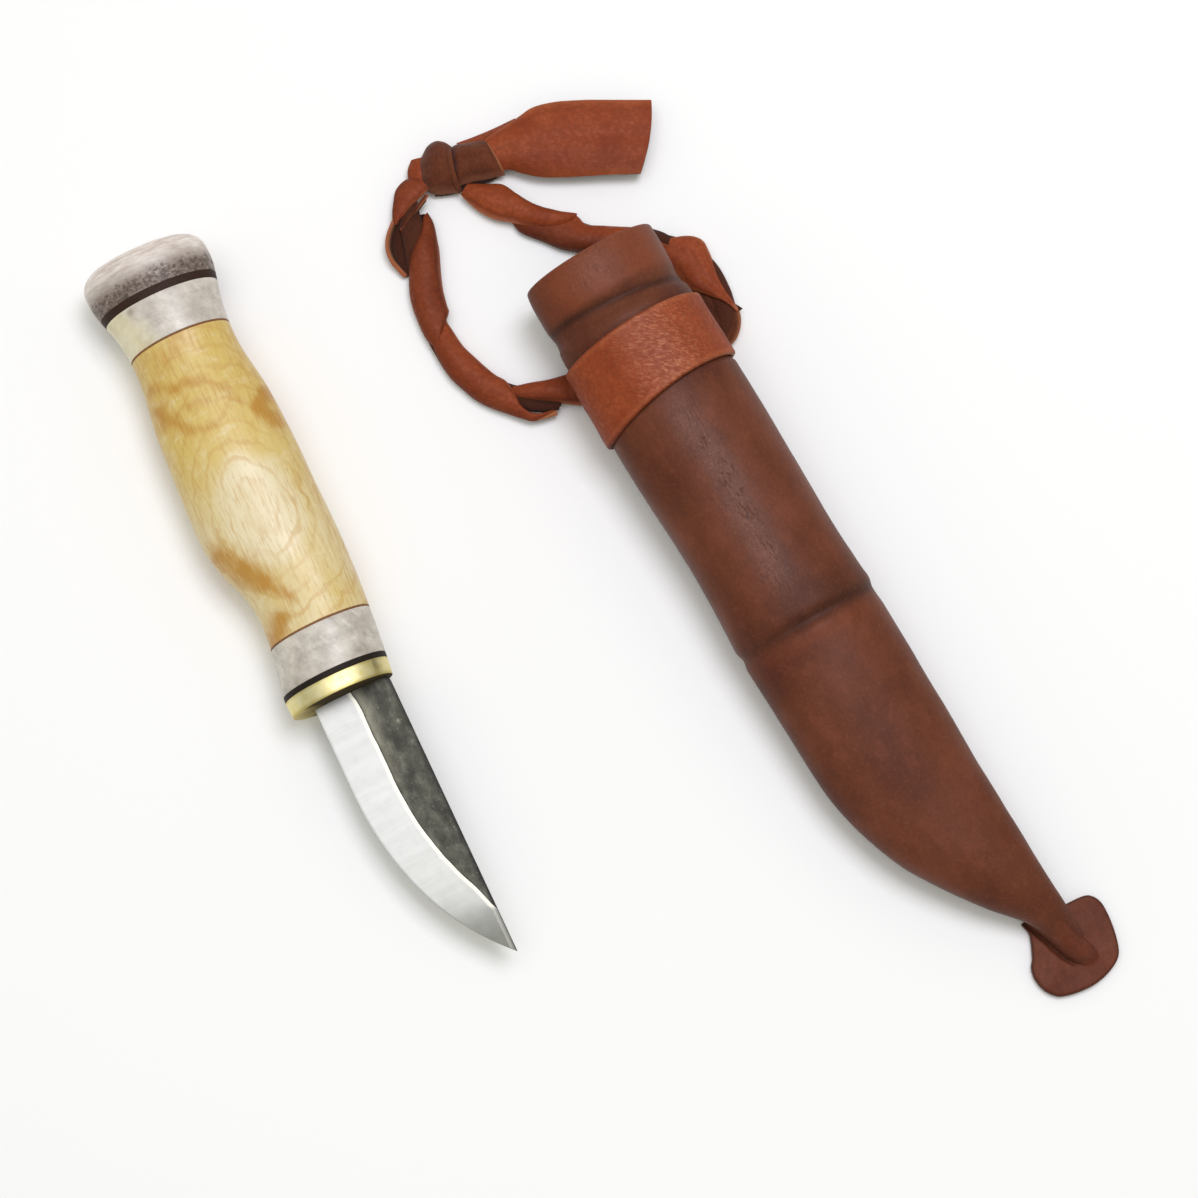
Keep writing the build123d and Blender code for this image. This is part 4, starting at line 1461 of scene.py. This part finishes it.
@dataclass
class Strap:
    """A stretch of the leather strip, laid through pairs of edge points and arched between them."""

    name: str
    # One edge's along, across and height, the other edge's, and how high the strip arches between.
    rows: tuple[Row, ...]
    thick: float = 1.4
    flesh_out: bool = False
    lit: tuple[float, float] = (0.0, 0.0)       # painted highlight along each edge
    shaded: tuple[float, float] = (0.0, 0.0)    # how dark each side lies
    sag: float = 0.0                            # lengthwise crease in the middle
    round: float = 0.5                          # power of the arch: lower is rounder at the edges
    glaze_and_sparkle: float = 0.12                         # how far its grain is glazed and sparkles with painted highlights
    crumple: float = 1.0                        # strength of its small swells
    bow: float = 0.0                            # how far the end is cut in a curve
    end_lit: float = 0.0                        # painted highlight along the end
    across: int = 25

    def surface(self, form: SheathForm) -> list[list[Vector]]:
        """Upper side of the strip as a grid of places, in the row frame."""
        grid = []
        dense = smooth_rows(self.rows, 9)
        # Twice the way from the last pair's middle but one to the last pair's middle.
        before, last = (Vector((row[0] + row[3], row[1] + row[4], 0.0)) for row in self.rows[-2:])
        run = last - before
        for i, (ax, ay, az, bx, by, bz, crown) in enumerate(dense):
            a, b = Vector((ax, ay, az)), Vector((bx, by, bz))
            curve = run.normalized() * self.bow * smoothstep(0.85, 1.0, i / (len(dense) - 1))
            line = []
            for k in range(self.across):
                t = k / (self.across - 1)
                spot = a.lerp(b, t) + curve * (1 - (2 * t - 1) ** 2)
                arch = crown * (1 - (2 * t - 1) ** 2) ** self.round
                spread = min(crown * 0.4, 1.0) * self.crumple
                swell = 0.15 * wobble(spot, 4.5) + 0.10 * wobble(spot, 1.9, 2) + 0.05 * wobble(spot, 0.9, 4)
                spot.z = max(spot.z + arch + swell * spread - self.sag * bump(t, 0.5, 0.1), self.thick + 0.1)
                line.append(form.on_floor(spot))
            grid.append(line)
        return grid

    def build(self, form: SheathForm, materials: Sequence[bpy.types.Material]) -> bpy.types.Object:
        """Build the strap.

        Args:
            form: the sheath, whose floor frame the places are given in.
            materials: grain side and flesh side.

        Returns:
            The strap.
        """
        grid = self.surface(form)
        skin = Skin.empty(self.name)
        rings = []
        last = self.across - 1
        near_lit, far_lit = self.lit
        near_shade, far_shade = self.shaded
        for i, line in enumerate(grid):
            before, after = grid[max(i - 1, 0)], grid[min(i + 1, len(grid) - 1)]
            ending = smoothstep(len(grid) - 4, len(grid) - 1, i)
            upper, lower, dark, rub, glaze_and_sparkle = [], [], [], [], []
            for k, spot in enumerate(line):
                t = k / last
                cross = line[min(k + 1, last)] - line[max(k - 1, 0)]
                normal = cross.cross(after[k] - before[k])
                normal = normal.normalized() if normal.length > 1e-6 else Vector((0, 0, 1))
                if normal.z < 0:
                    normal.negate()
                edge = max(abs(2 * t - 1) - 0.88, 0) / 0.12
                upper.append(spot - normal * (self.thick * 0.12 * edge * edge))
                under = spot - normal * (self.thick * (1 - 0.3 * edge * edge))
                under.z = max(under.z, 0.06)
                lower.append(under)
                lit = max(near_lit * bump(t, 0.0, 0.06), far_lit * bump(t, 1.0, 0.06), self.end_lit * ending)
                # A thin line of painted shade runs beside each lit edge.
                groove = max(near_lit * bump(t, 0.13, 0.05), far_lit * bump(t, 0.87, 0.05))
                side = near_shade * (1 - t) ** 1.5 + far_shade * t**1.5
                dark.append(min(side + 0.3 * groove, 1.0))
                rub.append(min(lit, 1.0))
                glaze_and_sparkle.append(self.glaze_and_sparkle * smoothstep(-0.5, 0.6, wobble(spot, 6.0, 8.0)) * (1 - side))
            # The underside is painted darker: painted shade, which also darkens the cut edges.
            rings.append(skin.ring(upper + lower[::-1], dark=dark + [0.6] * len(dark), rub=rub + rub[::-1],
                                   wrinkle=glaze_and_sparkle + [0.0] * len(glaze_and_sparkle)))
        sides = [1 if (k < last) == self.flesh_out else 0 for k in range(2 * self.across)]
        for a, b in zip(rings, rings[1:]):
            skin.join(a, b, sides)
        skin.cap(rings[0], flip=True)
        skin.cap(rings[-1])
        strap = skin.build(materials, 50)
        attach(strap, "sheath")
        return strap


@dataclass
class Thong:
    """The hanging loop: two rolled legs that meet in the knot, and the cut tail."""

    form: SheathForm
    diameter: float = 7.6

    def cores(self) -> list[Core]:
        """The two legs' inner turns, from the band to the knot and from the knot to the band."""
        return [
            Core("thong_left_roll", "thong_left", (
                (20.7, -14.5, 2.9), (19.0, -20.5, 2.8), (15.6, -27.0, 2.8), (9.0, -32.5, 3.0),
                (0.5, -34.8, 3.2), (-9.0, -34.0, 3.2), (-17.5, -31.2, 3.2), (-24.5, -28.6, 3.4),
                (-30.6, -27.2, 3.8), (-35.7, -23.7, 4.2)), length=69.0),
            Core("thong_right_roll", "thong_right", (
                (-25.2, -11.4, 4.0), (-21.0, -7.6, 3.6), (-14.0, -1.9, 3.2), (-7.4, 3.6, 3.0),
                (-1.3, 11.0, 3.0), (4.0, 19.3, 3.0), (12.0, 22.2, 3.2), (19.8, 21.0, 3.2),
                (25.0, 18.8, 3.0), (26.9, 13.9, 2.9)), length=69.3),
        ]

    def left_straps(self) -> list[Strap]:
        """Stretches of the strip that make the left leg."""
        return [
            # Inside of the roll, which stands open next to the knot.
            Strap("left_open_inside", (
                (-31.5, -29.8, 3.4, -29.4, -24.0, 2.2, -0.9), (-28.8, -32.8, 3.8, -26.8, -26.4, 2.0, -1.3),
                (-26.4, -34.4, 3.8, -24.6, -29.0, 2.0, -1.3), (-24.0, -34.8, 3.4, -22.8, -31.0, 2.0, -1.0),
                (-21.8, -34.4, 2.8, -21.2, -32.0, 2.0, -0.6), (-19.6, -33.8, 2.2, -19.4, -33.2, 2.0, -0.1)),
                thick=1.2, flesh_out=True, lit=(0.7, 0.0), shaded=(0.85, 1.0), round=1.0),
            # Small turn that comes out of the knot and laps over the opening.
            Strap("left_knot_turn", (
                (-37.2, -21.6, 2.6, -33.4, -20.4, 3.0, 1.2), (-37.9, -24.0, 2.4, -32.6, -22.4, 3.2, 1.6),
                (-37.0, -26.8, 2.4, -31.9, -24.8, 3.4, 1.7), (-34.6, -28.8, 2.6, -31.0, -27.4, 3.4, 1.3),
                (-32.4, -30.2, 2.9, -30.4, -29.2, 3.4, 0.8), (-30.6, -30.9, 3.1, -29.8, -30.5, 3.3, 0.2)),
                thick=1.3, lit=(0.3, 0.7), shaded=(0.55, 0.2), glaze_and_sparkle=0.1),
            Strap("left_knot_lip", (
                (-32.4, -21.6, 4.2, -31.2, -22.4, 3.2, 0.3), (-31.2, -24.6, 4.4, -29.8, -25.4, 3.4, 0.4),
                (-29.8, -27.6, 4.2, -28.6, -28.0, 3.2, 0.3), (-28.4, -30.2, 3.8, -27.6, -30.2, 3.0, 0.1)),
                thick=0.8, flesh_out=True, lit=(0.6, 0.0), shaded=(0.1, 0.9)),
            # Upper run of the left leg, from the knot to its cut lip.
            Strap("left_upper_run", (
                (-28.6, -24.8, 2.4, -29.4, -23.2, 1.8, 0.6), (-26.0, -26.8, 2.8, -26.4, -23.2, 1.8, 1.8),
                (-23.4, -30.2, 2.6, -22.6, -24.4, 1.6, 2.9), (-21.2, -32.4, 2.2, -20.4, -25.2, 1.5, 3.3),
                (-17.1, -34.9, 1.7, -16.4, -27.1, 1.5, 3.5), (-13.4, -36.3, 1.6, -12.8, -28.6, 1.5, 3.5),
                (-9.5, -37.0, 1.6, -9.6, -29.5, 1.7, 3.2), (-6.6, -37.3, 1.7, -8.0, -29.9, 2.3, 2.8),
                (-4.2, -37.2, 2.1, -6.4, -31.4, 3.0, 2.0), (-2.4, -36.5, 2.6, -4.6, -33.6, 3.2, 1.2),
                (-1.2, -35.8, 2.9, -2.2, -35.3, 3.0, 0.2)),
                lit=(0.2, 0.5), shaded=(0.45, 0.5)),
            # The strip turns over at the lip and runs on round the loop.
            Strap("left_lower_run", (
                (-5.6, -35.6, 1.6, -7.4, -31.4, 1.6, 1.4), (-3.4, -36.9, 1.6, -4.6, -31.2, 1.6, 2.4),
                (0.3, -37.3, 1.5, 0.0, -30.9, 1.6, 3.0), (4.6, -37.0, 1.5, 3.2, -30.0, 1.6, 3.2),
                (8.0, -36.0, 1.5, 6.2, -29.1, 1.7, 3.2), (11.3, -34.8, 1.5, 8.9, -28.1, 1.9, 3.0),
                (14.4, -32.9, 1.6, 11.2, -26.9, 2.4, 2.6), (17.4, -30.4, 1.8, 14.4, -26.7, 3.0, 1.8),
                (20.0, -28.2, 2.0, 17.2, -27.0, 3.2, 1.3), (21.7, -26.4, 2.2, 19.6, -26.1, 3.3, 0.9),
                (22.1, -23.9, 2.3, 20.9, -24.3, 3.1, 0.5), (21.9, -20.6, 2.3, 21.6, -21.0, 2.6, 0.2)),
                lit=(0.0, 0.85), shaded=(0.45, 0.0)),
            # Dark opening of the fold where the strip turns up to the band.
            Strap("left_fold_shadow", (
                (15.8, -28.2, 2.2, 13.8, -26.6, 2.2, 0.6), (18.6, -26.8, 2.4, 16.4, -24.8, 2.4, 0.8),
                (20.8, -24.0, 2.4, 18.8, -22.0, 2.4, 0.8), (22.2, -20.6, 2.4, 20.8, -19.2, 2.4, 0.6)),
                thick=1.0, flesh_out=True, shaded=(1.0, 1.0)),
            # The strip on its way up to the band, grain side out.
            Strap("left_band_run", (
                (15.2, -28.0, 1.8, 12.2, -27.6, 1.8, 0.6), (17.0, -25.4, 1.9, 12.9, -25.6, 1.9, 1.6),
                (19.0, -22.4, 2.0, 13.9, -22.6, 2.0, 2.2), (21.2, -19.4, 2.0, 15.2, -19.0, 2.0, 2.5),
                (23.4, -16.5, 2.0, 16.1, -15.0, 2.0, 2.5), (25.2, -13.4, 2.0, 17.0, -11.6, 2.0, 2.2)),
                lit=(0.5, 0.3), shaded=(0.5, 0.1)),
        ]

    def right_straps(self) -> list[Strap]:
        """Stretches of the strip that make the right leg."""
        return [
            # Long run under the sheath's mouth.
            Strap("right_lower_run", (
                (-19.6, -3.0, 1.6, -18.4, -8.9, 1.6, 1.2), (-16.4, 0.6, 1.6, -15.4, -8.3, 1.6, 2.2),
                (-13.0, 4.0, 1.6, -11.4, -5.2, 1.6, 2.6), (-10.3, 4.8, 1.6, -7.8, -2.5, 1.6, 2.9),
                (-8.5, 7.2, 1.6, -4.6, 1.4, 1.6, 3.1), (-6.2, 10.7, 1.6, -1.4, 5.8, 1.6, 3.3),
                (-3.9, 14.2, 1.6, 1.2, 9.6, 1.6, 3.3), (-1.6, 16.9, 1.6, 3.6, 12.6, 1.6, 2.8),
                (1.0, 18.6, 1.6, 5.6, 14.6, 1.6, 1.8)),
                lit=(0.2, 0.0), shaded=(0.0, 0.75)),
            # Run from the knot to its pointed, cut end.
            Strap("right_upper_run", (
                (-30.4, -12.6, 2.6, -29.0, -15.4, 2.2, 1.0), (-28.4, -9.4, 2.4, -26.4, -14.7, 1.8, 2.3),
                (-26.6, -6.3, 2.2, -23.4, -13.5, 1.7, 3.0), (-23.6, -4.8, 2.2, -20.6, -11.6, 1.8, 3.2),
                (-20.6, -3.4, 2.3, -18.4, -9.1, 2.0, 3.2), (-18.3, -1.8, 2.4, -16.6, -7.6, 2.1, 3.1),
                (-16.6, -0.2, 2.6, -14.8, -5.6, 2.2, 2.9), (-15.2, 1.2, 2.8, -13.2, -3.6, 2.3, 2.6),
                (-14.2, 2.4, 3.0, -12.0, -1.6, 2.4, 2.1), (-13.5, 3.4, 3.1, -11.5, 0.8, 2.6, 1.4),
                (-13.0, 4.1, 3.0, -11.9, 3.0, 2.8, 0.4)),
                lit=(0.15, 0.75), shaded=(0.15, 0.0)),
            Strap("right_turn_shadow", (
                (-3.0, 15.6, 2.6, -1.0, 13.6, 3.6, 0.6), (-1.7, 16.8, 2.6, 0.8, 15.2, 3.6, 0.7),
                (-0.4, 18.0, 2.4, 2.2, 16.6, 3.4, 0.6), (1.2, 19.0, 2.2, 3.4, 18.0, 3.0, 0.3)),
                thick=1.0, flesh_out=True, shaded=(1.0, 0.9)),
            # Flesh side that shows in the open roll next to the band.
            Strap("right_open_inside", (
                (9.0, 21.0, 1.8, 10.4, 15.2, 1.6, 0.6), (14.0, 22.2, 2.0, 13.6, 15.0, 1.6, 0.8),
                (19.4, 23.0, 2.2, 15.6, 14.6, 1.6, 0.9), (22.8, 23.3, 2.2, 17.6, 14.2, 1.6, 1.0),
                (25.2, 22.2, 2.2, 19.8, 13.2, 1.6, 1.0), (27.2, 20.2, 2.0, 21.8, 12.0, 1.6, 1.0),
                (28.2, 17.8, 1.8, 23.6, 10.4, 1.6, 0.8)),
                thick=1.3, flesh_out=True, lit=(0.7, 0.0), shaded=(0.1, 1.0)),
            # The strip comes round the loop's shoulder and its edge lifts off in a lip.
            Strap("right_shoulder_run", (
                (0.0, 16.6, 2.2, 2.4, 13.4, 2.0, 0.8), (1.4, 19.4, 1.9, 4.6, 14.2, 1.8, 1.6),
                (3.0, 22.9, 1.7, 7.4, 15.2, 1.7, 2.3), (5.2, 24.6, 1.7, 9.6, 15.6, 1.7, 2.6),
                (8.2, 24.5, 1.7, 11.6, 15.8, 1.9, 2.7), (11.2, 24.0, 1.7, 13.4, 16.2, 2.4, 2.6),
                (14.2, 23.7, 1.7, 15.2, 17.8, 3.0, 2.1), (17.4, 23.5, 1.8, 17.2, 19.4, 3.4, 1.4),
                (20.2, 23.4, 1.9, 19.8, 21.4, 3.5, 0.8), (22.8, 23.2, 2.2, 22.5, 22.5, 3.0, 0.2)),
                lit=(0.5, 0.9), shaded=(0.0, 0.15), sag=0.3, round=0.6, crumple=0.6),
        ]

    def knot_straps(self) -> list[Strap]:
        """Lobes of the knot, the lower ones first."""
        return [
            Strap("knot_base", (
                (-38.8, -19.3, 0.6, -31.6, -20.1, 0.6, 3.0), (-39.4, -15.3, 0.6, -30.2, -16.7, 0.6, 4.0),
                (-38.6, -11.3, 0.6, -29.4, -12.5, 0.6, 4.2), (-37.8, -7.3, 0.6, -28.6, -7.9, 0.6, 3.6),
                (-37.0, -4.7, 0.6, -28.8, -4.7, 0.6, 2.6)),
                flesh_out=True, shaded=(0.9, 0.9)),
            Strap("knot_small_turn", (
                (-41.2, -20.8, 1.8, -39.8, -17.4, 2.6, 0.8), (-39.9, -22.3, 1.8, -38.0, -18.6, 3.0, 1.3),
                (-38.4, -23.2, 1.8, -36.6, -19.8, 3.2, 1.3), (-36.6, -23.7, 1.8, -34.8, -20.8, 3.0, 0.8)),
                thick=1.2, lit=(0.4, 0.9), shaded=(0.2, 0.0), glaze_and_sparkle=0.0, crumple=1.6),
            Strap("knot_left_lobe", (
                (-39.7, -19.6, 2.0, -38.0, -20.3, 2.0, 0.8), (-40.9, -18.0, 1.7, -35.8, -21.0, 1.7, 2.8),
                (-42.1, -16.0, 1.7, -33.8, -21.1, 1.7, 4.2), (-42.2, -14.0, 1.9, -32.2, -20.5, 1.8, 5.0),
                (-41.0, -12.6, 2.4, -31.0, -18.5, 2.0, 4.7), (-39.6, -11.8, 2.6, -30.0, -16.4, 2.2, 3.4),
                (-38.9, -11.3, 2.4, -29.4, -15.2, 2.0, 2.0)),
                thick=1.5, flesh_out=True, lit=(0.3, 0.3), shaded=(0.2, 0.1), round=0.6, crumple=2.4),
            Strap("knot_collar", (
                (-39.2, -12.0, 2.6, -30.4, -15.6, 2.4, 2.4), (-39.2, -10.8, 2.6, -30.4, -14.2, 2.8, 4.0),
                (-38.6, -8.8, 2.2, -30.0, -12.1, 2.8, 4.7), (-38.1, -7.2, 2.0, -29.4, -9.8, 2.6, 4.5),
                (-37.6, -5.8, 2.0, -28.7, -7.4, 2.4, 4.1), (-37.0, -4.9, 2.0, -28.0, -4.9, 2.4, 3.6)),
                thick=1.5, flesh_out=True, lit=(0.3, 0.6), shaded=(0.25, 0.0), sag=0.5, round=0.6,
                crumple=2.0, end_lit=0.9),
            Strap("knot_seam_lip", (
                (-39.2, -12.2, 4.2, -39.4, -13.2, 3.4, 0.1), (-37.0, -12.9, 6.6, -37.1, -14.1, 5.8, 0.3),
                (-34.2, -13.9, 7.0, -34.3, -15.1, 6.2, 0.3), (-31.6, -14.5, 5.8, -31.6, -15.6, 5.0, 0.3),
                (-29.6, -14.6, 3.6, -29.6, -15.6, 3.0, 0.1)),
                thick=0.9, flesh_out=True, lit=(0.9, 0.7)),
        ]

    def tail_straps(self) -> list[Strap]:
        """The cut tail and the doubled layer beside it."""
        return [
            Strap("thong_cut_tail", (
                (-36.8, -6.8, 3.4, -28.6, -7.0, 3.4, 1.6), (-37.2, -4.2, 3.6, -28.6, -4.2, 3.4, 2.0),
                (-37.4, -0.8, 3.8, -26.4, -2.0, 3.6, 2.2), (-37.6, 3.2, 4.0, -23.8, 0.8, 3.8, 2.2),
                (-37.9, 7.4, 4.2, -21.2, 5.0, 4.0, 1.9), (-36.6, 12.0, 4.3, -19.0, 9.2, 4.2, 1.6),
                (-34.0, 17.4, 4.3, -17.0, 13.2, 4.4, 1.2), (-30.2, 24.0, 4.3, -15.2, 16.6, 4.5, 0.8),
                (-26.6, 30.2, 4.3, -13.5, 19.9, 4.6, 0.5)),
                thick=1.7, lit=(0.3, 0.2), shaded=(0.0, 0.15), sag=0.25, round=0.8, glaze_and_sparkle=0.2, bow=0.9),
            Strap("tail_doubled_layer", (
                (-39.6, -10.4, 2.4, -36.8, -9.8, 4.2, 0.4), (-39.0, -6.4, 2.2, -36.4, -6.4, 4.0, 0.5),
                (-38.5, -2.0, 2.2, -36.2, -2.0, 4.0, 0.4), (-38.2, 3.2, 2.2, -36.3, 2.6, 3.8, 0.2)),
                thick=1.0, lit=(0.7, 0.0), shaded=(0.0, 0.5)),
        ]

    def build(self) -> None:
        grain, flesh = ThongLeather().make(), ThongLeather(LeatherSide.FLESH).make()
        left = [strap.build(self.form, [grain, flesh]) for strap in self.left_straps()]
        right = [strap.build(self.form, [grain, flesh]) for strap in self.right_straps()]
        knot = [strap.build(self.form, [grain, flesh]) for strap in self.knot_straps()]
        tail = [strap.build(self.form, [grain, flesh]) for strap in self.tail_straps()]
        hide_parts("thong_knot")
        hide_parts("thong_tail")
        for core, pieces in zip(self.cores(), ([*left, *knot, *tail], right)):
            roll = core.build(self.form, flesh)
            path = core.path if core.node == "thong_left" else core.path[::-1]
            [tuple(p * MM) for p in path]
            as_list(pieces)
            logging.info("%s laid", roll.name)


@dataclass
class Sheath:
    """Leather body, liner, band and thong."""

    def build(self) -> None:
        """Build and dress every piece of the sheath."""
        form = SheathForm()
        body, leaf = SheathBody(form).build()
        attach(body, "sheath")
        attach(leaf, "sheath")
        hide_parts("sheath_leather")
        band = CarryBand(form).build()
        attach(band, "sheath")
        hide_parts("carry_band")
        dress("blade_liner", LinerPlastic().make())
        Thong(form).build()
        logging.info("sheath built")


# -------------------------------------------------------------------- the studio
@dataclass
class Studio:
    """Pale table, soft light and the camera above."""

    knife_heading: float = -64.6     # the knife's direction in the view, degrees from the right
    tilt: float = 9.5                # camera's lean from straight above, degrees
    distance: float = 605.0
    field: float = 23.0              # angle of view, degrees
    aim: Row = (-2.93, 1.44, 10.0)
    table_half: float = 3.0          # half the table's side, in metres
    lens_half: float = 18.0          # half the camera's film, for its focal length
    backdrop: str = "#FFFFF2"
    backdrop_light: float = 0.445

    def in_view(self, right: float, up: float) -> Vector:
        """Turn a direction of the view into the row frame."""
        return Matrix.Rotation(math.radians(-self.knife_heading), 3, "Z") @ Vector((right, up, 0))

    def build(self) -> None:
        """Set the table, the lights and the camera."""
        table = Paintbox("painted_table_matt")
        table.set(Base_Color="#FEFEFB", Roughness=0.9, Specular_IOR_Level=0.1)
        mesh = bpy.data.meshes.new("table")
        side = self.table_half
        corners = [(-side, -side, 0), (side, -side, 0), (side, side, 0), (-side, side, 0)]
        mesh.from_pydata(corners, [], [(0, 1, 2, 3)])
        mesh.materials.append(table.material)
        top = bpy.data.objects.new("table", mesh)
        bpy.context.scene.collection.objects.link(top)
        world = bpy.data.worlds.new("studio")
        bpy.context.scene.world = world
        world.use_nodes = True
        backdrop = world.node_tree.nodes["Background"]
        backdrop.inputs["Color"].default_value = linear(self.backdrop)
        backdrop.inputs["Strength"].default_value = self.backdrop_light
        self.lamp("window", (180, 240), 1000, 420, 4.3)
        self.lamp("overhead", (-160, 60), 1050, 800, 2.85)
        lean = math.radians(self.tilt)
        aim = Vector(self.aim) * MM
        back = self.in_view(0, -1) * math.sin(lean) + Vector((0, 0, math.cos(lean)))
        camera = bpy.data.objects.new("camera", bpy.data.cameras.new("camera"))
        camera.data.sensor_width = 2 * self.lens_half
        camera.data.lens = self.lens_half / math.tan(math.radians(self.field / 2))
        camera.location = aim + back * self.distance * MM
        up = self.in_view(0, 1)
        right = up.cross(back).normalized()
        rotation = Matrix((right, back.cross(right), back)).transposed()
        camera.rotation_euler = rotation.to_euler()
        bpy.context.scene.collection.objects.link(camera)
        bpy.context.scene.camera = camera
        bpy.context.scene.view_settings.view_transform = "Standard"

    def lamp(self, name: str, where: tuple[float, float], height: float, size: float, power: float) -> None:
        """Hang one square lamp that faces the middle of the table.

        Args:
            name: the lamp's name.
            where: place in the view, right and up of the middle, in millimetres.
            height: above the table, in millimetres.
            size: its side, in millimetres.
            power: in watts.
        """
        light = bpy.data.lights.new(name, "AREA")
        light.size = size * MM
        light.color = (0.98, 0.98, 1.10)
        light.energy = power
        lamp = bpy.data.objects.new(name, light)
        lamp.location = (self.in_view(*where) + Vector((0, 0, height))) * MM
        lamp.rotation_euler = lamp.location.to_track_quat("Z", "Y").to_euler()
        bpy.context.scene.collection.objects.link(lamp)


def main() -> None:
    """Build the knife, the sheath and the studio."""
    logging.basicConfig(level=logging.INFO, format="%(message)s")
    Knife().build()
    Sheath().build()
    Studio().build()


if __name__ == "__main__":
    main()
